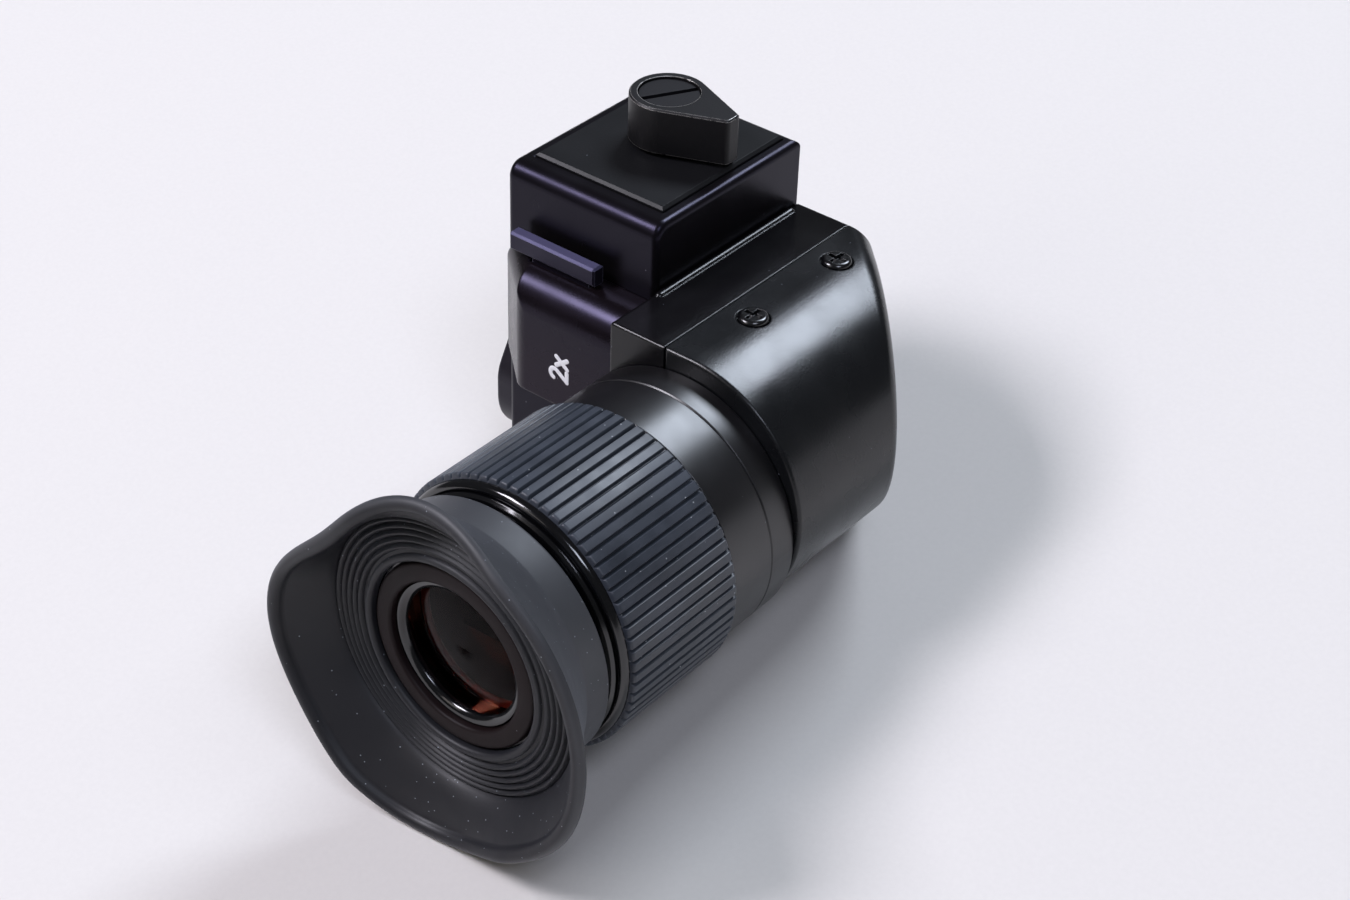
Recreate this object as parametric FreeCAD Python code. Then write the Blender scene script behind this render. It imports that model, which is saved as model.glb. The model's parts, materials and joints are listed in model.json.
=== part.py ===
import FreeCAD, Part
import math
import os

# Right-angle viewfinder attachment for a camera eyepiece, with a 1x / 2x magnification changer.
# Millimetres. Origin: centre of the coupling's camera face. +X: along the light into the finder.
# -Y: out of the eyepiece. +Z: up, towards the lever. Light enters along +X at y = 0, z = 0,
# passes the changer drum, is folded 90 degrees by the roof prism and leaves along -Y at x = EYE_X.

V = FreeCAD.Vector

# ---------------------------------------------------------------- clearances
RUN = 0.05          # radial running fit of round guides
EASY = 0.1          # gap round parts that slide in slots or nest in pockets
PRESS = 0.01        # radial gap drawn at a press or glued joint
LIFT = 0.3          # free gap between bodies that pass each other

# ---------------------------------------------------------------- coupling to the camera
FRAME_HALF_LOW = 13.2   # half width of the turning coupling frame below the light path
FRAME_HALF_TOP = 10.9   # half width above it
FRAME_DROP = 14.4       # light path to the frame's lower edge
FRAME_TOP = 11.3        # light path to its upper edge
FRAME_ROUND_LOW = 6.4
FRAME_ROUND_TOP = 4.5
FRAME_WAIST = 5.0       # rounding of the sides where the width changes
FRAME_WAIST_Z = (-4.6, -0.4)
FLANGE_T = 2.8      # thickness of the frame
CHANNEL_W = 18.4    # width of the channel that slides over the camera's eyepiece frame
CHANNEL_D = 1.5     # depth of that channel
CHANNEL_LIP = 0.9   # overhang of each retaining lip
CHANNEL_LIP_T = 0.5 # thickness of each retaining lip
HUB_R = 7.4         # hub that turns in the changer housing
HUB_BORE_R = 5.6    # clear light path of the hub
HUB_LEN = 3.7       # hub length behind the disc
NOTCH_DEPTH = 0.7   # click notches, one every quarter turn
NOTCH_W = 1.7
NOTCH_STEPS = 4
HUB_GROOVE_X = 1.25 # centre of the dog-screw groove behind the disc
HUB_GROOVE_W = 0.9
HUB_GROOVE_D = 0.6
WINDOW_T = 0.9      # thickness of the entrance window
WINDOW_RIM = 0.8    # radial width of the seat it is glued on

# ---------------------------------------------------------------- changer housing (block)
BLOCK_X0 = FLANGE_T + 0.2
BLOCK_L = 20.9
BLOCK_X1 = BLOCK_X0 + BLOCK_L
BLOCK_FRONT = -14.65
BLOCK_REAR = 10.3
BLOCK_TOP = 24.7
BLOCK_TOP_ROUND = 1.8
BLOCK_EDGE = 0.8
PIVOT_X = BLOCK_X0 + BLOCK_L / 2
CAVITY_FLOOR = 9.0
CAVITY_X_WALL = 4.6 # wall beside the release slide's slot
CAVITY_WALL = 3.0
PLATE_INSET = 1.6   # block edge to top plate
PLATE_FRONT_INSET = 2.9
PLATE_REAR_INSET = 1.2
PLATE_T = 1.3
PLATE_PROUD = 0.5

# ---------------------------------------------------------------- prism housing and cover
BODY_R = 14.8       # round side of the cover
ROUND_BACK = 10.8   # block's end face to the middle of the round side
BODY_CX = BLOCK_X1 + ROUND_BACK
BODY_CZ = 2.05
BODY_TOP = BODY_CZ + BODY_R
BODY_BOTTOM = BODY_CZ - BODY_R
FACE_Y = -22.1      # flat front of the body
BODY_REAR = 10.1
HOUSING_L = 7.2     # block's end face to the joint between housing and cover
SEAM_X = BLOCK_X1 + HOUSING_L
SEAM_GAP = 0.1
SLANT_BACK = 20.8   # block's end face to the cover's 45 degree back, along the light that enters
SLANT = BLOCK_X1 + SLANT_BACK       # x + y on that back
WALL = 1.5
COVER_WALL = 1.3
COVER_ROUND = 2.2   # rounding between the round side and the slanted back
TONGUE_T = 1.4
TONGUE_L = 6.4      # reach of the housing's tongues into the cover
TONGUE_REACH = SEAM_X + TONGUE_L
BODY_EDGE_ROUND = 0.5
RIM_PROUD = 0.3     # rounded rim on the housing beside the block
RIM_R = 0.55
BULKHEAD_T = 2.5
BULKHEAD_GAP = 0.6  # cover front wall to bulkhead
COVER_SCREW_Y = (-11.6, 3.2)
COVER_SCREW_IN = 3.5 # joint to the cover screws
COVER_SCREW_X = SEAM_X + COVER_SCREW_IN

# ---------------------------------------------------------------- eyepiece barrel (radii about EYE_X)
EYE_BACK = 10.3     # block's end face to the eyepiece axis
EYE_X = BLOCK_X1 + EYE_BACK
EYE_BORE_R = 9.5    # lens bore of the eyepiece tube
EYE_WALL = 2.05     # wall of the eyepiece tube
TUBE_BORE_R = EYE_BORE_R + EYE_WALL + RUN
TUBE_WALL = 1.3
TUBE_R = TUBE_BORE_R + TUBE_WALL        # barrel tube under the ribbed ring
COLLAR_WALL = 1.8
COLLAR_R = TUBE_R + COLLAR_WALL
COLLAR_LEN = 10.2
COLLAR_END = FACE_Y - COLLAR_LEN
SEAT_LEN = 3.7      # rear ring of the collar, up to the joint with the barrel tube
COLLAR_SEAM = FACE_Y - SEAT_LEN
SPIGOT_R = 7.4      # threaded spigot through the body's front
SPIGOT_BORE_R = 6.4
NUT_WALL = 1.2
NUT_T = 2.0
TUBE_LEN = 13.7     # collar end to the tube's front
TUBE_END = COLLAR_END - TUBE_LEN
TUBE_STEP = 2.0     # collar end back to the bottom of the wide bore
TAIL_WALL = 0.35
TAIL_R = TUBE_BORE_R + TAIL_WALL
TAIL_LEN = 2.1

# ---------------------------------------------------------------- dioptre ring
RING_WALL = 2.6
RING_R = TUBE_R + RING_WALL
RING_RIBS = 72
RIB_DEPTH = 0.5
RIB_SHARE = 0.68    # width of a rib as a share of the pitch
RING_LIP = 2.7      # ring's reach in front of the barrel tube
RING_FRONT = TUBE_END - RING_LIP
RING_LIP_WALL = 0.95
RING_SHELF = 1.0    # the wide front bore reaches this far behind the tube's end
RING_STEP = TUBE_END + RING_SHELF
RETAINER_T = 0.9
RETAINER_W = 0.85
RETAINER_R = TUBE_R + RETAINER_W
RING_TURN = 120.0   # degrees each way
TRAVEL = 1.5        # eyepiece travel each way
PIN_R = 0.9
PIN_BACK = 6.7      # collar end to the drive pin
PIN_Y = COLLAR_END - PIN_BACK
PIN_DEPTH = 1.15    # reach of the drive pin into the ring

# ---------------------------------------------------------------- eyepiece
SKIRT_T = 0.8
SKIRT_R = RING_R - RIB_DEPTH - RING_LIP_WALL - RUN
SKIRT_IN = 0.8      # skirt's reach into the ring
SKIRT_END = RING_FRONT + SKIRT_IN
SKIRT_SHOWN = 1.4   # ring's front to the eyecup's shoulder
SHOULDER = RING_FRONT - SKIRT_SHOWN
SHOULDER_T = 1.4
EYE_LEN = 7.6       # shoulder to the keeper's face
EYE_FRONT = SHOULDER - EYE_LEN
KEEPER_RIM = 0.9
KEEPER_R = EYE_BORE_R + KEEPER_RIM
KEEPER_LIP = 0.9
KEEPER_BORE_R = EYE_BORE_R - KEEPER_LIP
KEEPER_T = 1.5
KEEPER_PROUD = 0.8  # keeper in front of the tube's end
CUP_SEAT_WALL = 2.2
CUP_SEAT_R = KEEPER_R + CUP_SEAT_WALL
EYE_TAIL = 9.4      # tube's reach behind the front of the barrel tube
EYE_REAR = TUBE_END + EYE_TAIL
EYE_STOP_T = 2.4
EYE_STOP_Y = EYE_REAR - EYE_STOP_T
EYE_STOP_LIP = 0.9
EYE_STOP_R = EYE_BORE_R - EYE_STOP_LIP
INNER_LENS_T = 3.2
EYE_LENS_T = 3.4
EYE_LENS_BULGE = 0.9
EYE_LENS_INSET = 2.7 # keeper's face to the rim of the eye lens

# ---------------------------------------------------------------- rubber eyecup
CUP_BACK_WALL = 2.5
CUP_SLEEVE_R = CUP_SEAT_R + CUP_BACK_WALL
CUP_LENGTH = 13.5   # shoulder to the middle height of the rim
CUP_FLOOR_PROUD = 0.3
CUP_FLOOR = EYE_LEN + CUP_FLOOR_PROUD   # shoulder to grooved floor
CUP_STRAIGHT = 4.4  # straight part of the sleeve
RIM_TILT = 0.9      # the rim's two side horns stand this far ahead of the middle height
RIM_WAVE = 0.8      # the rim's four diagonals stand this far ahead of it
CUP_FLOOR_FLARE = 0.8
CUP_FLOOR_R = CUP_SLEEVE_R + CUP_FLOOR_FLARE
CUP_HORN_FLARE = 6.9
CUP_HORN = CUP_SLEEVE_R + CUP_HORN_FLARE    # rim half-width along X
CUP_BROW_FLARE = 5.6
CUP_BROW = CUP_SLEEVE_R + CUP_BROW_FLARE    # rim half-width along Z
CUP_CORNER = 1.5    # exponent of the rim's rounded-diamond outline
CUP_SOFT = 0.16     # softening of the outline's corners
CUP_WALL = 1.3
BEAD_BACK = 3.8     # shoulder to the middle of the snap bead
BEAD_Y = SHOULDER - BEAD_BACK
BEAD_W = 1.2
BEAD_D = 0.5
CUP_GROOVES = 4
CUP_GROOVE_STEP = 1.25
CUP_GROOVE_W = 0.55
CUP_GROOVE_D = 0.5

# ---------------------------------------------------------------- changer drum and lever
DRUM_R = 6.4
DRUM_HALF_H = 6.0
DRUM_BORE_R = 3.7
DRUM_PIVOT_R = 1.5
DRUM_PIVOT_LEN = 3.0
CHAMBER_R = DRUM_R + 0.3
SPINDLE_R = 2.5
SPINDLE_SPIGOT_R = 1.5
DETENT_R = 4.5
DETENT_T = 2.0
DETENT_Z = 12.5
BALL_R = 1.0
TELE_LENS_R = DRUM_BORE_R - RUN
TELE_FRONT_T = 2.0
TELE_REAR_T = 1.4
TELE_OFFSET = 5.0   # drum axis to the outer face of a telescope lens
LEVER_R = 4.4
LEVER_REACH = 8.9
LEVER_TIP_W = 2.0
LEVER_H = 5.3
LEVER_RECESS_D = 1.6
CAP_R = 3.35
CAP_T = 1.3
CAP_SLOT_W = 0.7
CAP_SLOT_D = 0.6
WASHER_R = 3.1
WASHER_T = 0.6
BOTTOM_PLATE_T = 1.6
BOTTOM_PLATE_X = 17.6
BOTTOM_PLATE_Y = 19.0

# ---------------------------------------------------------------- release slide and its hood
HOOD_FRONT = -20.3
HOOD_BOTTOM = 1.2
HOOD_TOP = 15.6
HOOD_ROUND = 4.2
HOOD_TURN = 2.5     # rounding between the hood's front and its slanted side
HOOD_SIDE_ROUND = 2.8   # rounding along the top of that side
HOOD_CHAMFER_X = 6.5
HOOD_WALL = 1.1
HOOD_GAP = 0.1
BAR_X0 = 5.5
BAR_L = 12.0
BAR_H = 2.2
BAR_FRONT = -17.2
BAR_DEPTH = 1.6
SLIDE_T = 1.0
SLIDE_X0 = 5.4
SLIDE_TRAVEL = 0.8
ARM_Z0 = 9.3
ARM_H = 1.6
PAD_X0 = 8.5
PAD_L = 8.0
PAD_T = 0.8
PAD_FRONT = BAR_FRONT + 0.5
PAD_BOTTOM = 4.5
TOOTH_HALF_W = 0.7

# ---------------------------------------------------------------- optics in the housing
CELL_R = 6.8
CELL_BORE_R = 5.65
CELL_STOP_R = 4.8
CELL_X0 = BLOCK_X1 - 2.9
CELL_X1 = BLOCK_X1 + WALL + 1.0
OBJECTIVE_T = 2.4
OBJECTIVE_BULGE = 0.6
PRISM_A = 7.3       # fold point to the prism's entrance and exit faces
PRISM_TABLE_T = 0.9

# ---------------------------------------------------------------- fasteners
COVER_HEAD_R = 1.7
COVER_HEAD_T = 0.9
COVER_SHANK_R = 0.85
SMALL_HEAD_R = 1.3
SMALL_HEAD_T = 0.8
SMALL_SHANK_R = 0.75
JOINT_SCREW_Y = (-8.5, 6.6)
JOINT_SCREW_TOP = BODY_TOP - 7.85
JOINT_SCREW_LOW = BODY_BOTTOM + 4.25
JOINT_SCREW_YZ = [(y, z) for y in JOINT_SCREW_Y for z in (JOINT_SCREW_TOP, JOINT_SCREW_LOW)]
JOINT_SCREW_LEN = 4.0
SPRING_WIRE = 0.35


# ================================================================ shape helpers
def box(x0, x1, y0, y1, z0, z1):
    """Block between two corners."""
    return Part.makeBox(x1 - x0, y1 - y0, z1 - z0, V(x0, y0, z0))


def rod(start, direction, radius, length):
    """Cylinder from a start point along a direction."""
    return Part.makeCylinder(radius, length, V(*start), V(*direction))


def cut(shape, *tools):
    """Shape with every tool taken away."""
    for tool in tools:
        shape = shape.cut(tool)
    return shape


def fuse(shape, *others):
    """One clean solid out of touching pieces."""
    for other in others:
        shape = shape.fuse(other)
    return shape.removeSplitter()


def turned(points):
    """Solid of revolution about the eyepiece axis from (radius, y) corners."""
    corners = [V(EYE_X + r, y, 0) for r, y in points]
    face = Part.Face(Part.makePolygon(corners + corners[:1]))
    return face.revolve(V(EYE_X, 0, 0), V(0, 1, 0), 360)


def collar(r_out, r_in, y0, y1):
    """Ring about the eyepiece axis."""
    return turned([(r_in, y0), (r_out, y0), (r_out, y1), (r_in, y1)])


def x_ring(r_out, r_in, x0, x1):
    """Ring about the entrance axis."""
    outer = rod((x0, 0, 0), (1, 0, 0), r_out, x1 - x0)
    return outer.cut(rod((x0, 0, 0), (1, 0, 0), r_in, x1 - x0))


def lens(centre, direction, radius, thickness, bulge_a, bulge_b):
    """Lens whose faces bulge out (+) or hollow in (-) from a disc of the given edge thickness."""
    low, high = -bulge_a, thickness + bulge_b
    rim = Part.makeLine(V(radius, 0, 0), V(radius, 0, thickness))
    axis_line = Part.makeLine(V(0, 0, low), V(0, 0, high))
    edges = [axis_line, cap_edge(radius, 0, low), rim, cap_edge(radius, thickness, high)]
    face = Part.Face(Part.Wire(Part.__sortEdges__(edges)))
    solid = face.revolve(V(0, 0, 0), V(0, 0, 1), 360)
    turn = FreeCAD.Rotation(V(0, 0, 1), V(*direction))
    solid.Placement = FreeCAD.Placement(V(*centre), turn)
    return solid


def sag(radius, bulge, at):
    """Height of a lens face above its rim, at a smaller radius."""
    curve = (radius ** 2 + bulge ** 2) / (2 * bulge)
    return math.sqrt(curve ** 2 - at ** 2) - (curve - bulge)


def cap_edge(radius, z_rim, z_mid):
    """Half section of a lens face, from the axis to the rim."""
    bulge = z_mid - z_rim
    start, end = V(0, 0, z_mid), V(radius, 0, z_rim)
    if bulge == 0:
        return Part.makeLine(start, end)
    curve = (radius ** 2 + bulge ** 2) / (2 * abs(bulge))
    centre = z_mid - math.copysign(curve, bulge)
    half_way = centre + math.copysign(math.sqrt(curve ** 2 - radius ** 2 / 4), bulge)
    return Part.Arc(start, V(radius / 2, 0, half_way), end).toShape()


def pan_screw(point, direction, head_r, head_t, shank_r, shank_len, cross=True):
    """Pan-head screw: point is under the head, direction points into the thread."""
    head = Part.makeCylinder(head_r, head_t)
    head = head.makeFillet(head_t * 0.55, [head.Edges[0]])
    if cross:
        width = head_r * 0.32
        for angle in (0, 90):
            slot = Part.makeBox(head_r * 1.3, width, head_t * 0.6)
            slot.translate(V(-head_r * 0.65, -width / 2, head_t * 0.45))
            slot.rotate(V(0, 0, 0), V(0, 0, 1), angle)
            head = head.cut(slot)
    shank = Part.makeCylinder(shank_r, shank_len, V(0, 0, -shank_len))
    screw = fuse(head, shank)
    turn = FreeCAD.Rotation(V(0, 0, -1), V(*direction))
    screw.Placement = FreeCAD.Placement(V(*point), turn)
    return screw


def coil(start, direction, radius, length, turns):
    """Compression spring with its ends at start and start + length."""
    pitch = (length - 2 * SPRING_WIRE) / turns
    helix = Part.makeHelix(pitch, pitch * turns, radius - SPRING_WIRE / 2)
    section = Part.Wire(Part.makeCircle(SPRING_WIRE / 2, V(radius - SPRING_WIRE / 2, 0, 0), V(0, 1, 0)))
    spring = Part.Wire(helix).makePipeShell([section], True, True)
    turn = FreeCAD.Rotation(V(0, 0, 1), V(*direction))
    lead = V(*direction).multiply(SPRING_WIRE)
    spring.Placement = FreeCAD.Placement(V(*start).add(lead), turn)
    return spring


def body_face(inset, x_left, y):
    """Section of the body: flat to the left, round to the right, facing +Y."""
    r = BODY_R - inset
    top, bottom = BODY_CZ + r, BODY_CZ - r
    a, b = V(x_left, y, top), V(BODY_CX, y, top)
    c, d = V(BODY_CX, y, bottom), V(x_left, y, bottom)
    round_side = Part.Arc(b, V(BODY_CX + r, y, BODY_CZ), c).toShape()
    edges = [Part.makeLine(a, b), round_side, Part.makeLine(c, d), Part.makeLine(d, a)]
    return Part.Face(Part.Wire(edges))


def body_block(inset, x_left, y0, y1):
    """Body section drawn out from y0 to y1."""
    return body_face(inset, x_left, y0).extrude(V(0, y1 - y0, 0))


def behind_slant(inset):
    """Everything beyond the cover's 45 degree back, moved inwards by inset."""
    level = SLANT - inset * math.sqrt(2)
    far = BODY_CX + BODY_R + 5
    rear = BODY_REAR + 2
    corners = [V(level - rear, rear, -40), V(far, rear, -40), V(far, level - far, -40)]
    return Part.Face(Part.makePolygon(corners + corners[:1])).extrude(V(0, 0, 80))


def edges_where(shape, test):
    """Edges whose centre point passes a test."""
    return [edge for edge in shape.Edges if test(edge.CenterOfMass, edge)]


# ================================================================ coupling
def frame_plate():
    """Plate of the coupling: wide and round below the light path, narrower above it."""
    low, high = FRAME_WAIST_Z
    side = [(FRAME_HALF_LOW, -FRAME_DROP), (FRAME_HALF_LOW, low), (FRAME_HALF_TOP, high),
            (FRAME_HALF_TOP, FRAME_TOP)]
    corners = [V(0, y, z) for y, z in side] + [V(0, -y, z) for y, z in reversed(side)]
    plate = Part.Face(Part.makePolygon(corners + corners[:1])).extrude(V(FLANGE_T, 0, 0))
    for radius, z in ((FRAME_ROUND_LOW, -FRAME_DROP), (FRAME_WAIST, low), (FRAME_WAIST, high),
                      (FRAME_ROUND_TOP, FRAME_TOP)):
        turns = edges_where(plate, lambda c, e: abs(c.x - FLANGE_T / 2) < 0.01 and abs(c.z - z) < 0.01)
        plate = plate.makeFillet(radius, turns)
    return plate


def coupling_frame():
    """Turning frame with the camera channel, its hub, click notches and dog-screw groove."""
    hub_end = FLANGE_T + HUB_LEN
    frame = fuse(frame_plate(), rod((0, 0, 0), (1, 0, 0), HUB_R, hub_end))
    half = CHANNEL_W / 2
    channel = box(CHANNEL_LIP_T, CHANNEL_D, -half, half, -FRAME_DROP - 1, half)
    mouth = box(-1, CHANNEL_LIP_T, -half + CHANNEL_LIP, half - CHANNEL_LIP, -FRAME_DROP - 1, half)
    groove_x = FLANGE_T + HUB_GROOVE_X - HUB_GROOVE_W / 2
    groove = x_ring(HUB_R + 1, HUB_R - HUB_GROOVE_D, groove_x, groove_x + HUB_GROOVE_W)
    seat_r = HUB_BORE_R + WINDOW_RIM
    seat = rod((0, 0, 0), (1, 0, 0), seat_r, CHANNEL_D + WINDOW_T + PRESS)
    bore = rod((0, 0, 0), (1, 0, 0), HUB_BORE_R, hub_end)
    frame = cut(frame, channel, mouth, groove, seat, bore)
    for step in range(NOTCH_STEPS):
        notch = box(SLIDE_X0 - EASY, hub_end + 1, HUB_R - NOTCH_DEPTH, HUB_R + 1, -NOTCH_W / 2, NOTCH_W / 2)
        notch.rotate(V(0, 0, 0), V(1, 0, 0), step * 360 / NOTCH_STEPS)
        frame = frame.cut(notch)
    return frame


def entrance_window():
    """Flat glass at the bottom of the camera channel."""
    seat_r = HUB_BORE_R + WINDOW_RIM - PRESS
    return rod((CHANNEL_D, 0, 0), (1, 0, 0), seat_r, WINDOW_T)


def dog_screws():
    """Three radial set screws that hold the hub and let it turn."""
    x = FLANGE_T + HUB_GROOVE_X
    screws = []
    for angle in DOG_ANGLES:
        tip = rod((x, 0, HUB_R - HUB_GROOVE_D + EASY), (0, 0, 1), HUB_GROOVE_W / 2 - RUN, HUB_GROOVE_D)
        body = rod((x, 0, HUB_R + RUN), (0, 0, 1), DOG_R, DOG_LEN)
        socket = rod((x, 0, HUB_R + RUN + DOG_LEN - 0.6), (0, 0, 1), DOG_R * 0.45, 1)
        screw = fuse(tip, body).cut(socket)
        screw.rotate(V(0, 0, 0), V(1, 0, 0), angle)
        screws.append(screw)
    return Part.makeCompound(screws)


DOG_R = 0.7
DOG_LEN = 2.0
DOG_ANGLES = (-90, 90, 180)


# ================================================================ changer housing
def plate_box(z0, z1, margin=0.0):
    """Footprint of the top plate, grown by a margin."""
    return box(BLOCK_X0 + PLATE_INSET - margin, BLOCK_X1 - PLATE_INSET + margin,
               BLOCK_FRONT + PLATE_FRONT_INSET - margin, BLOCK_REAR - PLATE_REAR_INSET + margin, z0, z1)


def bottom_plate_box(z0, z1, margin=0.0):
    """Footprint of the bottom plate, grown by a margin."""
    middle = (BLOCK_FRONT + BLOCK_REAR) / 2
    half_x, half_y = BOTTOM_PLATE_X / 2 + margin, BOTTOM_PLATE_Y / 2 + margin
    return box(PIVOT_X - half_x, PIVOT_X + half_x, middle - half_y, middle + half_y, z0, z1)


def bottom_screw_spots():
    """Corners of the bottom plate that take its screws."""
    middle = (BLOCK_FRONT + BLOCK_REAR) / 2
    half_x, half_y = BOTTOM_PLATE_X / 2 - 2.2, BOTTOM_PLATE_Y / 2 - 1.9
    return [(PIVOT_X + sx * half_x, middle + sy * half_y) for sx in (-1, 1) for sy in (-1, 1)]


def hood_boss_spots():
    """Lugs on the block's front that take the hood's screws."""
    return [(BAR_X0 + 6.2, BLOCK_FRONT - 2.4), (BLOCK_X1 - 3.4, BLOCK_FRONT - 2.4)]


def changer_housing():
    """Cast block round the changer drum."""
    block = box(BLOCK_X0, BLOCK_X1, BLOCK_FRONT, BLOCK_REAR, BODY_BOTTOM, BLOCK_TOP)
    top_front = edges_where(block, lambda c, e: c.z > BLOCK_TOP - 0.01 and c.y < BLOCK_FRONT + 0.01)
    block = block.makeFillet(BLOCK_TOP_ROUND, top_front)
    rest = edges_where(block, lambda c, e: c.z > BLOCK_TOP - 0.01 and c.y > BLOCK_FRONT + BLOCK_TOP_ROUND + 0.1)
    block = block.makeFillet(BLOCK_EDGE, rest)
    chamber = rod((PIVOT_X, 0, BODY_BOTTOM - 1), (0, 0, 1), CHAMBER_R, DRUM_HALF_H + 0.6 - BODY_BOTTOM + 1)
    cavity = box(BLOCK_X0 + CAVITY_X_WALL, BLOCK_X1 - CAVITY_WALL, BLOCK_FRONT + 5.2, BLOCK_REAR - CAVITY_WALL,
                 CAVITY_FLOOR, BLOCK_TOP + 1)
    rebate = plate_box(BLOCK_TOP + PLATE_PROUD - PLATE_T, BLOCK_TOP + 1, EASY)
    bearing = rod((PIVOT_X, 0, 0), (0, 0, 1), SPINDLE_R + RUN, CAVITY_FLOOR + 1)
    hub_bore = rod((BLOCK_X0, 0, 0), (1, 0, 0), HUB_R + RUN, FLANGE_T + HUB_LEN + 0.2 - BLOCK_X0)
    light = rod((BLOCK_X0, 0, 0), (1, 0, 0), DRUM_BORE_R + 1, BLOCK_L)
    port = rod((CELL_X0, 0, 0), (1, 0, 0), CELL_R + PRESS, BLOCK_L)
    floor_rebate = bottom_plate_box(BODY_BOTTOM - 1, BODY_BOTTOM + BOTTOM_PLATE_T, EASY)
    block = cut(block, chamber, cavity, rebate, bearing, hub_bore, light, port, floor_rebate)
    block = cut(block, *slide_slots())
    spring_hole = rod((SPRING_X, BLOCK_FRONT - 1, SPRING_Z), (0, 1, 0), SPRING_R + 0.3, SPRING_DEPTH + 1)
    block = block.cut(spring_hole)
    for x, y in bottom_screw_spots():
        block = block.cut(rod((x, y, BODY_BOTTOM), (0, 0, 1), SMALL_SHANK_R + PRESS, BOTTOM_PLATE_T + 3.5))
    for y, z in JOINT_SCREW_YZ:
        depth = JOINT_SCREW_LEN - WALL + 0.3
        block = block.cut(rod((BLOCK_X1 - depth, y, z), (1, 0, 0), SMALL_SHANK_R + PRESS, 5))
    for x, y in hood_boss_spots():
        lug = box(x - 1.8, x + 1.8, y - 1.6, BLOCK_FRONT + 0.5, HOOD_BOTTOM + HOOD_WALL, PAD_BOTTOM - 0.4)
        block = fuse(block, lug)
        block = block.cut(rod((x, y, HOOD_BOTTOM), (0, 0, 1), SMALL_SHANK_R + PRESS, 2.6))
    for angle in DOG_ANGLES:
        hole = rod((FLANGE_T + HUB_GROOVE_X, 0, 0), (0, 0, 1), DOG_R + PRESS, HUB_R + RUN + 30)
        hole.rotate(V(0, 0, 0), V(1, 0, 0), angle)
        block = block.cut(hole)
    ball_bore = rod((PIVOT_X, DETENT_R - 1, DETENT_Z + DETENT_T / 2), (0, 1, 0), BALL_R + RUN, BLOCK_REAR)
    shelf = box(PIVOT_X - 2.2, PIVOT_X + 2.2, DETENT_R + 0.5, BLOCK_REAR - CAVITY_WALL + 0.5,
                CAVITY_FLOOR - 0.5, DETENT_Z + DETENT_T + 2)
    block = fuse(block, shelf).cut(ball_bore)
    return block


def slide_slots():
    """Pocket and slots in the block for the release slide, with its travel."""
    x0, x1 = SLIDE_X0 - EASY, SLIDE_X0 + SLIDE_T + EASY
    z0, z1 = ARM_Z0 - EASY, ARM_Z0 + ARM_H + EASY
    leg = HUB_R + 0.3
    reach = leg + SLIDE_LEG_T + SLIDE_TRAVEL + EASY
    pocket = box(x0, PAD_X0 + 3.1, BLOCK_FRONT - 1, BLOCK_FRONT + SLIDE_SUNK + SLIDE_TRAVEL + 0.5, z0, z1)
    arm = box(x0, x1, BLOCK_FRONT - 1, reach, z0, z1)
    down = box(x0, x1, HUB_R - 1, reach, -TOOTH_HALF_W - 0.4, z1)
    return [pocket, arm, down]


SLIDE_LEG_T = 0.8
SLIDE_SUNK = 1.35   # depth of the cross arm behind the block's front
SPRING_X = PAD_X0 + 5.5
SPRING_Z = 7.0
SPRING_R = 1.3
SPRING_DEPTH = 3.2


def release_slide():
    """Press bar, pad, arm round the hub and the click tooth, drawn lifted just clear of the notches."""
    leg = HUB_R + 0.3
    bar_z = HOOD_TOP + LIFT
    bar = box(BAR_X0, BAR_X0 + BAR_L, BAR_FRONT, BAR_FRONT + BAR_DEPTH, bar_z, bar_z + BAR_H)
    bar_edges = edges_where(bar, lambda c, e: c.y < BAR_FRONT + 0.01 or c.z > bar_z + BAR_H - 0.01)
    bar = bar.makeChamfer(0.25, bar_edges)
    pad = box(PAD_X0, PAD_X0 + PAD_L, PAD_FRONT, PAD_FRONT + PAD_T, PAD_BOTTOM, bar_z + 0.5)
    link = box(PAD_X0, PAD_X0 + 3.0, PAD_FRONT + 0.2, BLOCK_FRONT + SLIDE_SUNK, ARM_Z0, ARM_Z0 + ARM_H)
    cross = box(SLIDE_X0, PAD_X0 + 3.0, BLOCK_FRONT + 0.2, BLOCK_FRONT + SLIDE_SUNK, ARM_Z0, ARM_Z0 + ARM_H)
    arm = box(SLIDE_X0, SLIDE_X0 + SLIDE_T, BLOCK_FRONT + 0.2, leg + SLIDE_LEG_T, ARM_Z0, ARM_Z0 + ARM_H)
    down = box(SLIDE_X0, SLIDE_X0 + SLIDE_T, leg, leg + SLIDE_LEG_T, -TOOTH_HALF_W, ARM_Z0 + 0.5)
    tooth = box(SLIDE_X0, SLIDE_X0 + SLIDE_T, HUB_R + RUN, leg + 0.2, -TOOTH_HALF_W, TOOTH_HALF_W)
    return fuse(bar, pad, link, cross, arm, down, tooth)


def release_spring():
    """Spring that pushes the press bar out again, at its pressed length; it moves with the bar."""
    back = PAD_FRONT + PAD_T
    length = BLOCK_FRONT + SPRING_DEPTH - SLIDE_TRAVEL - RUN - back
    return coil((SPRING_X, back, SPRING_Z), (0, 1, 0), SPRING_R, length, 6)


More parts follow.
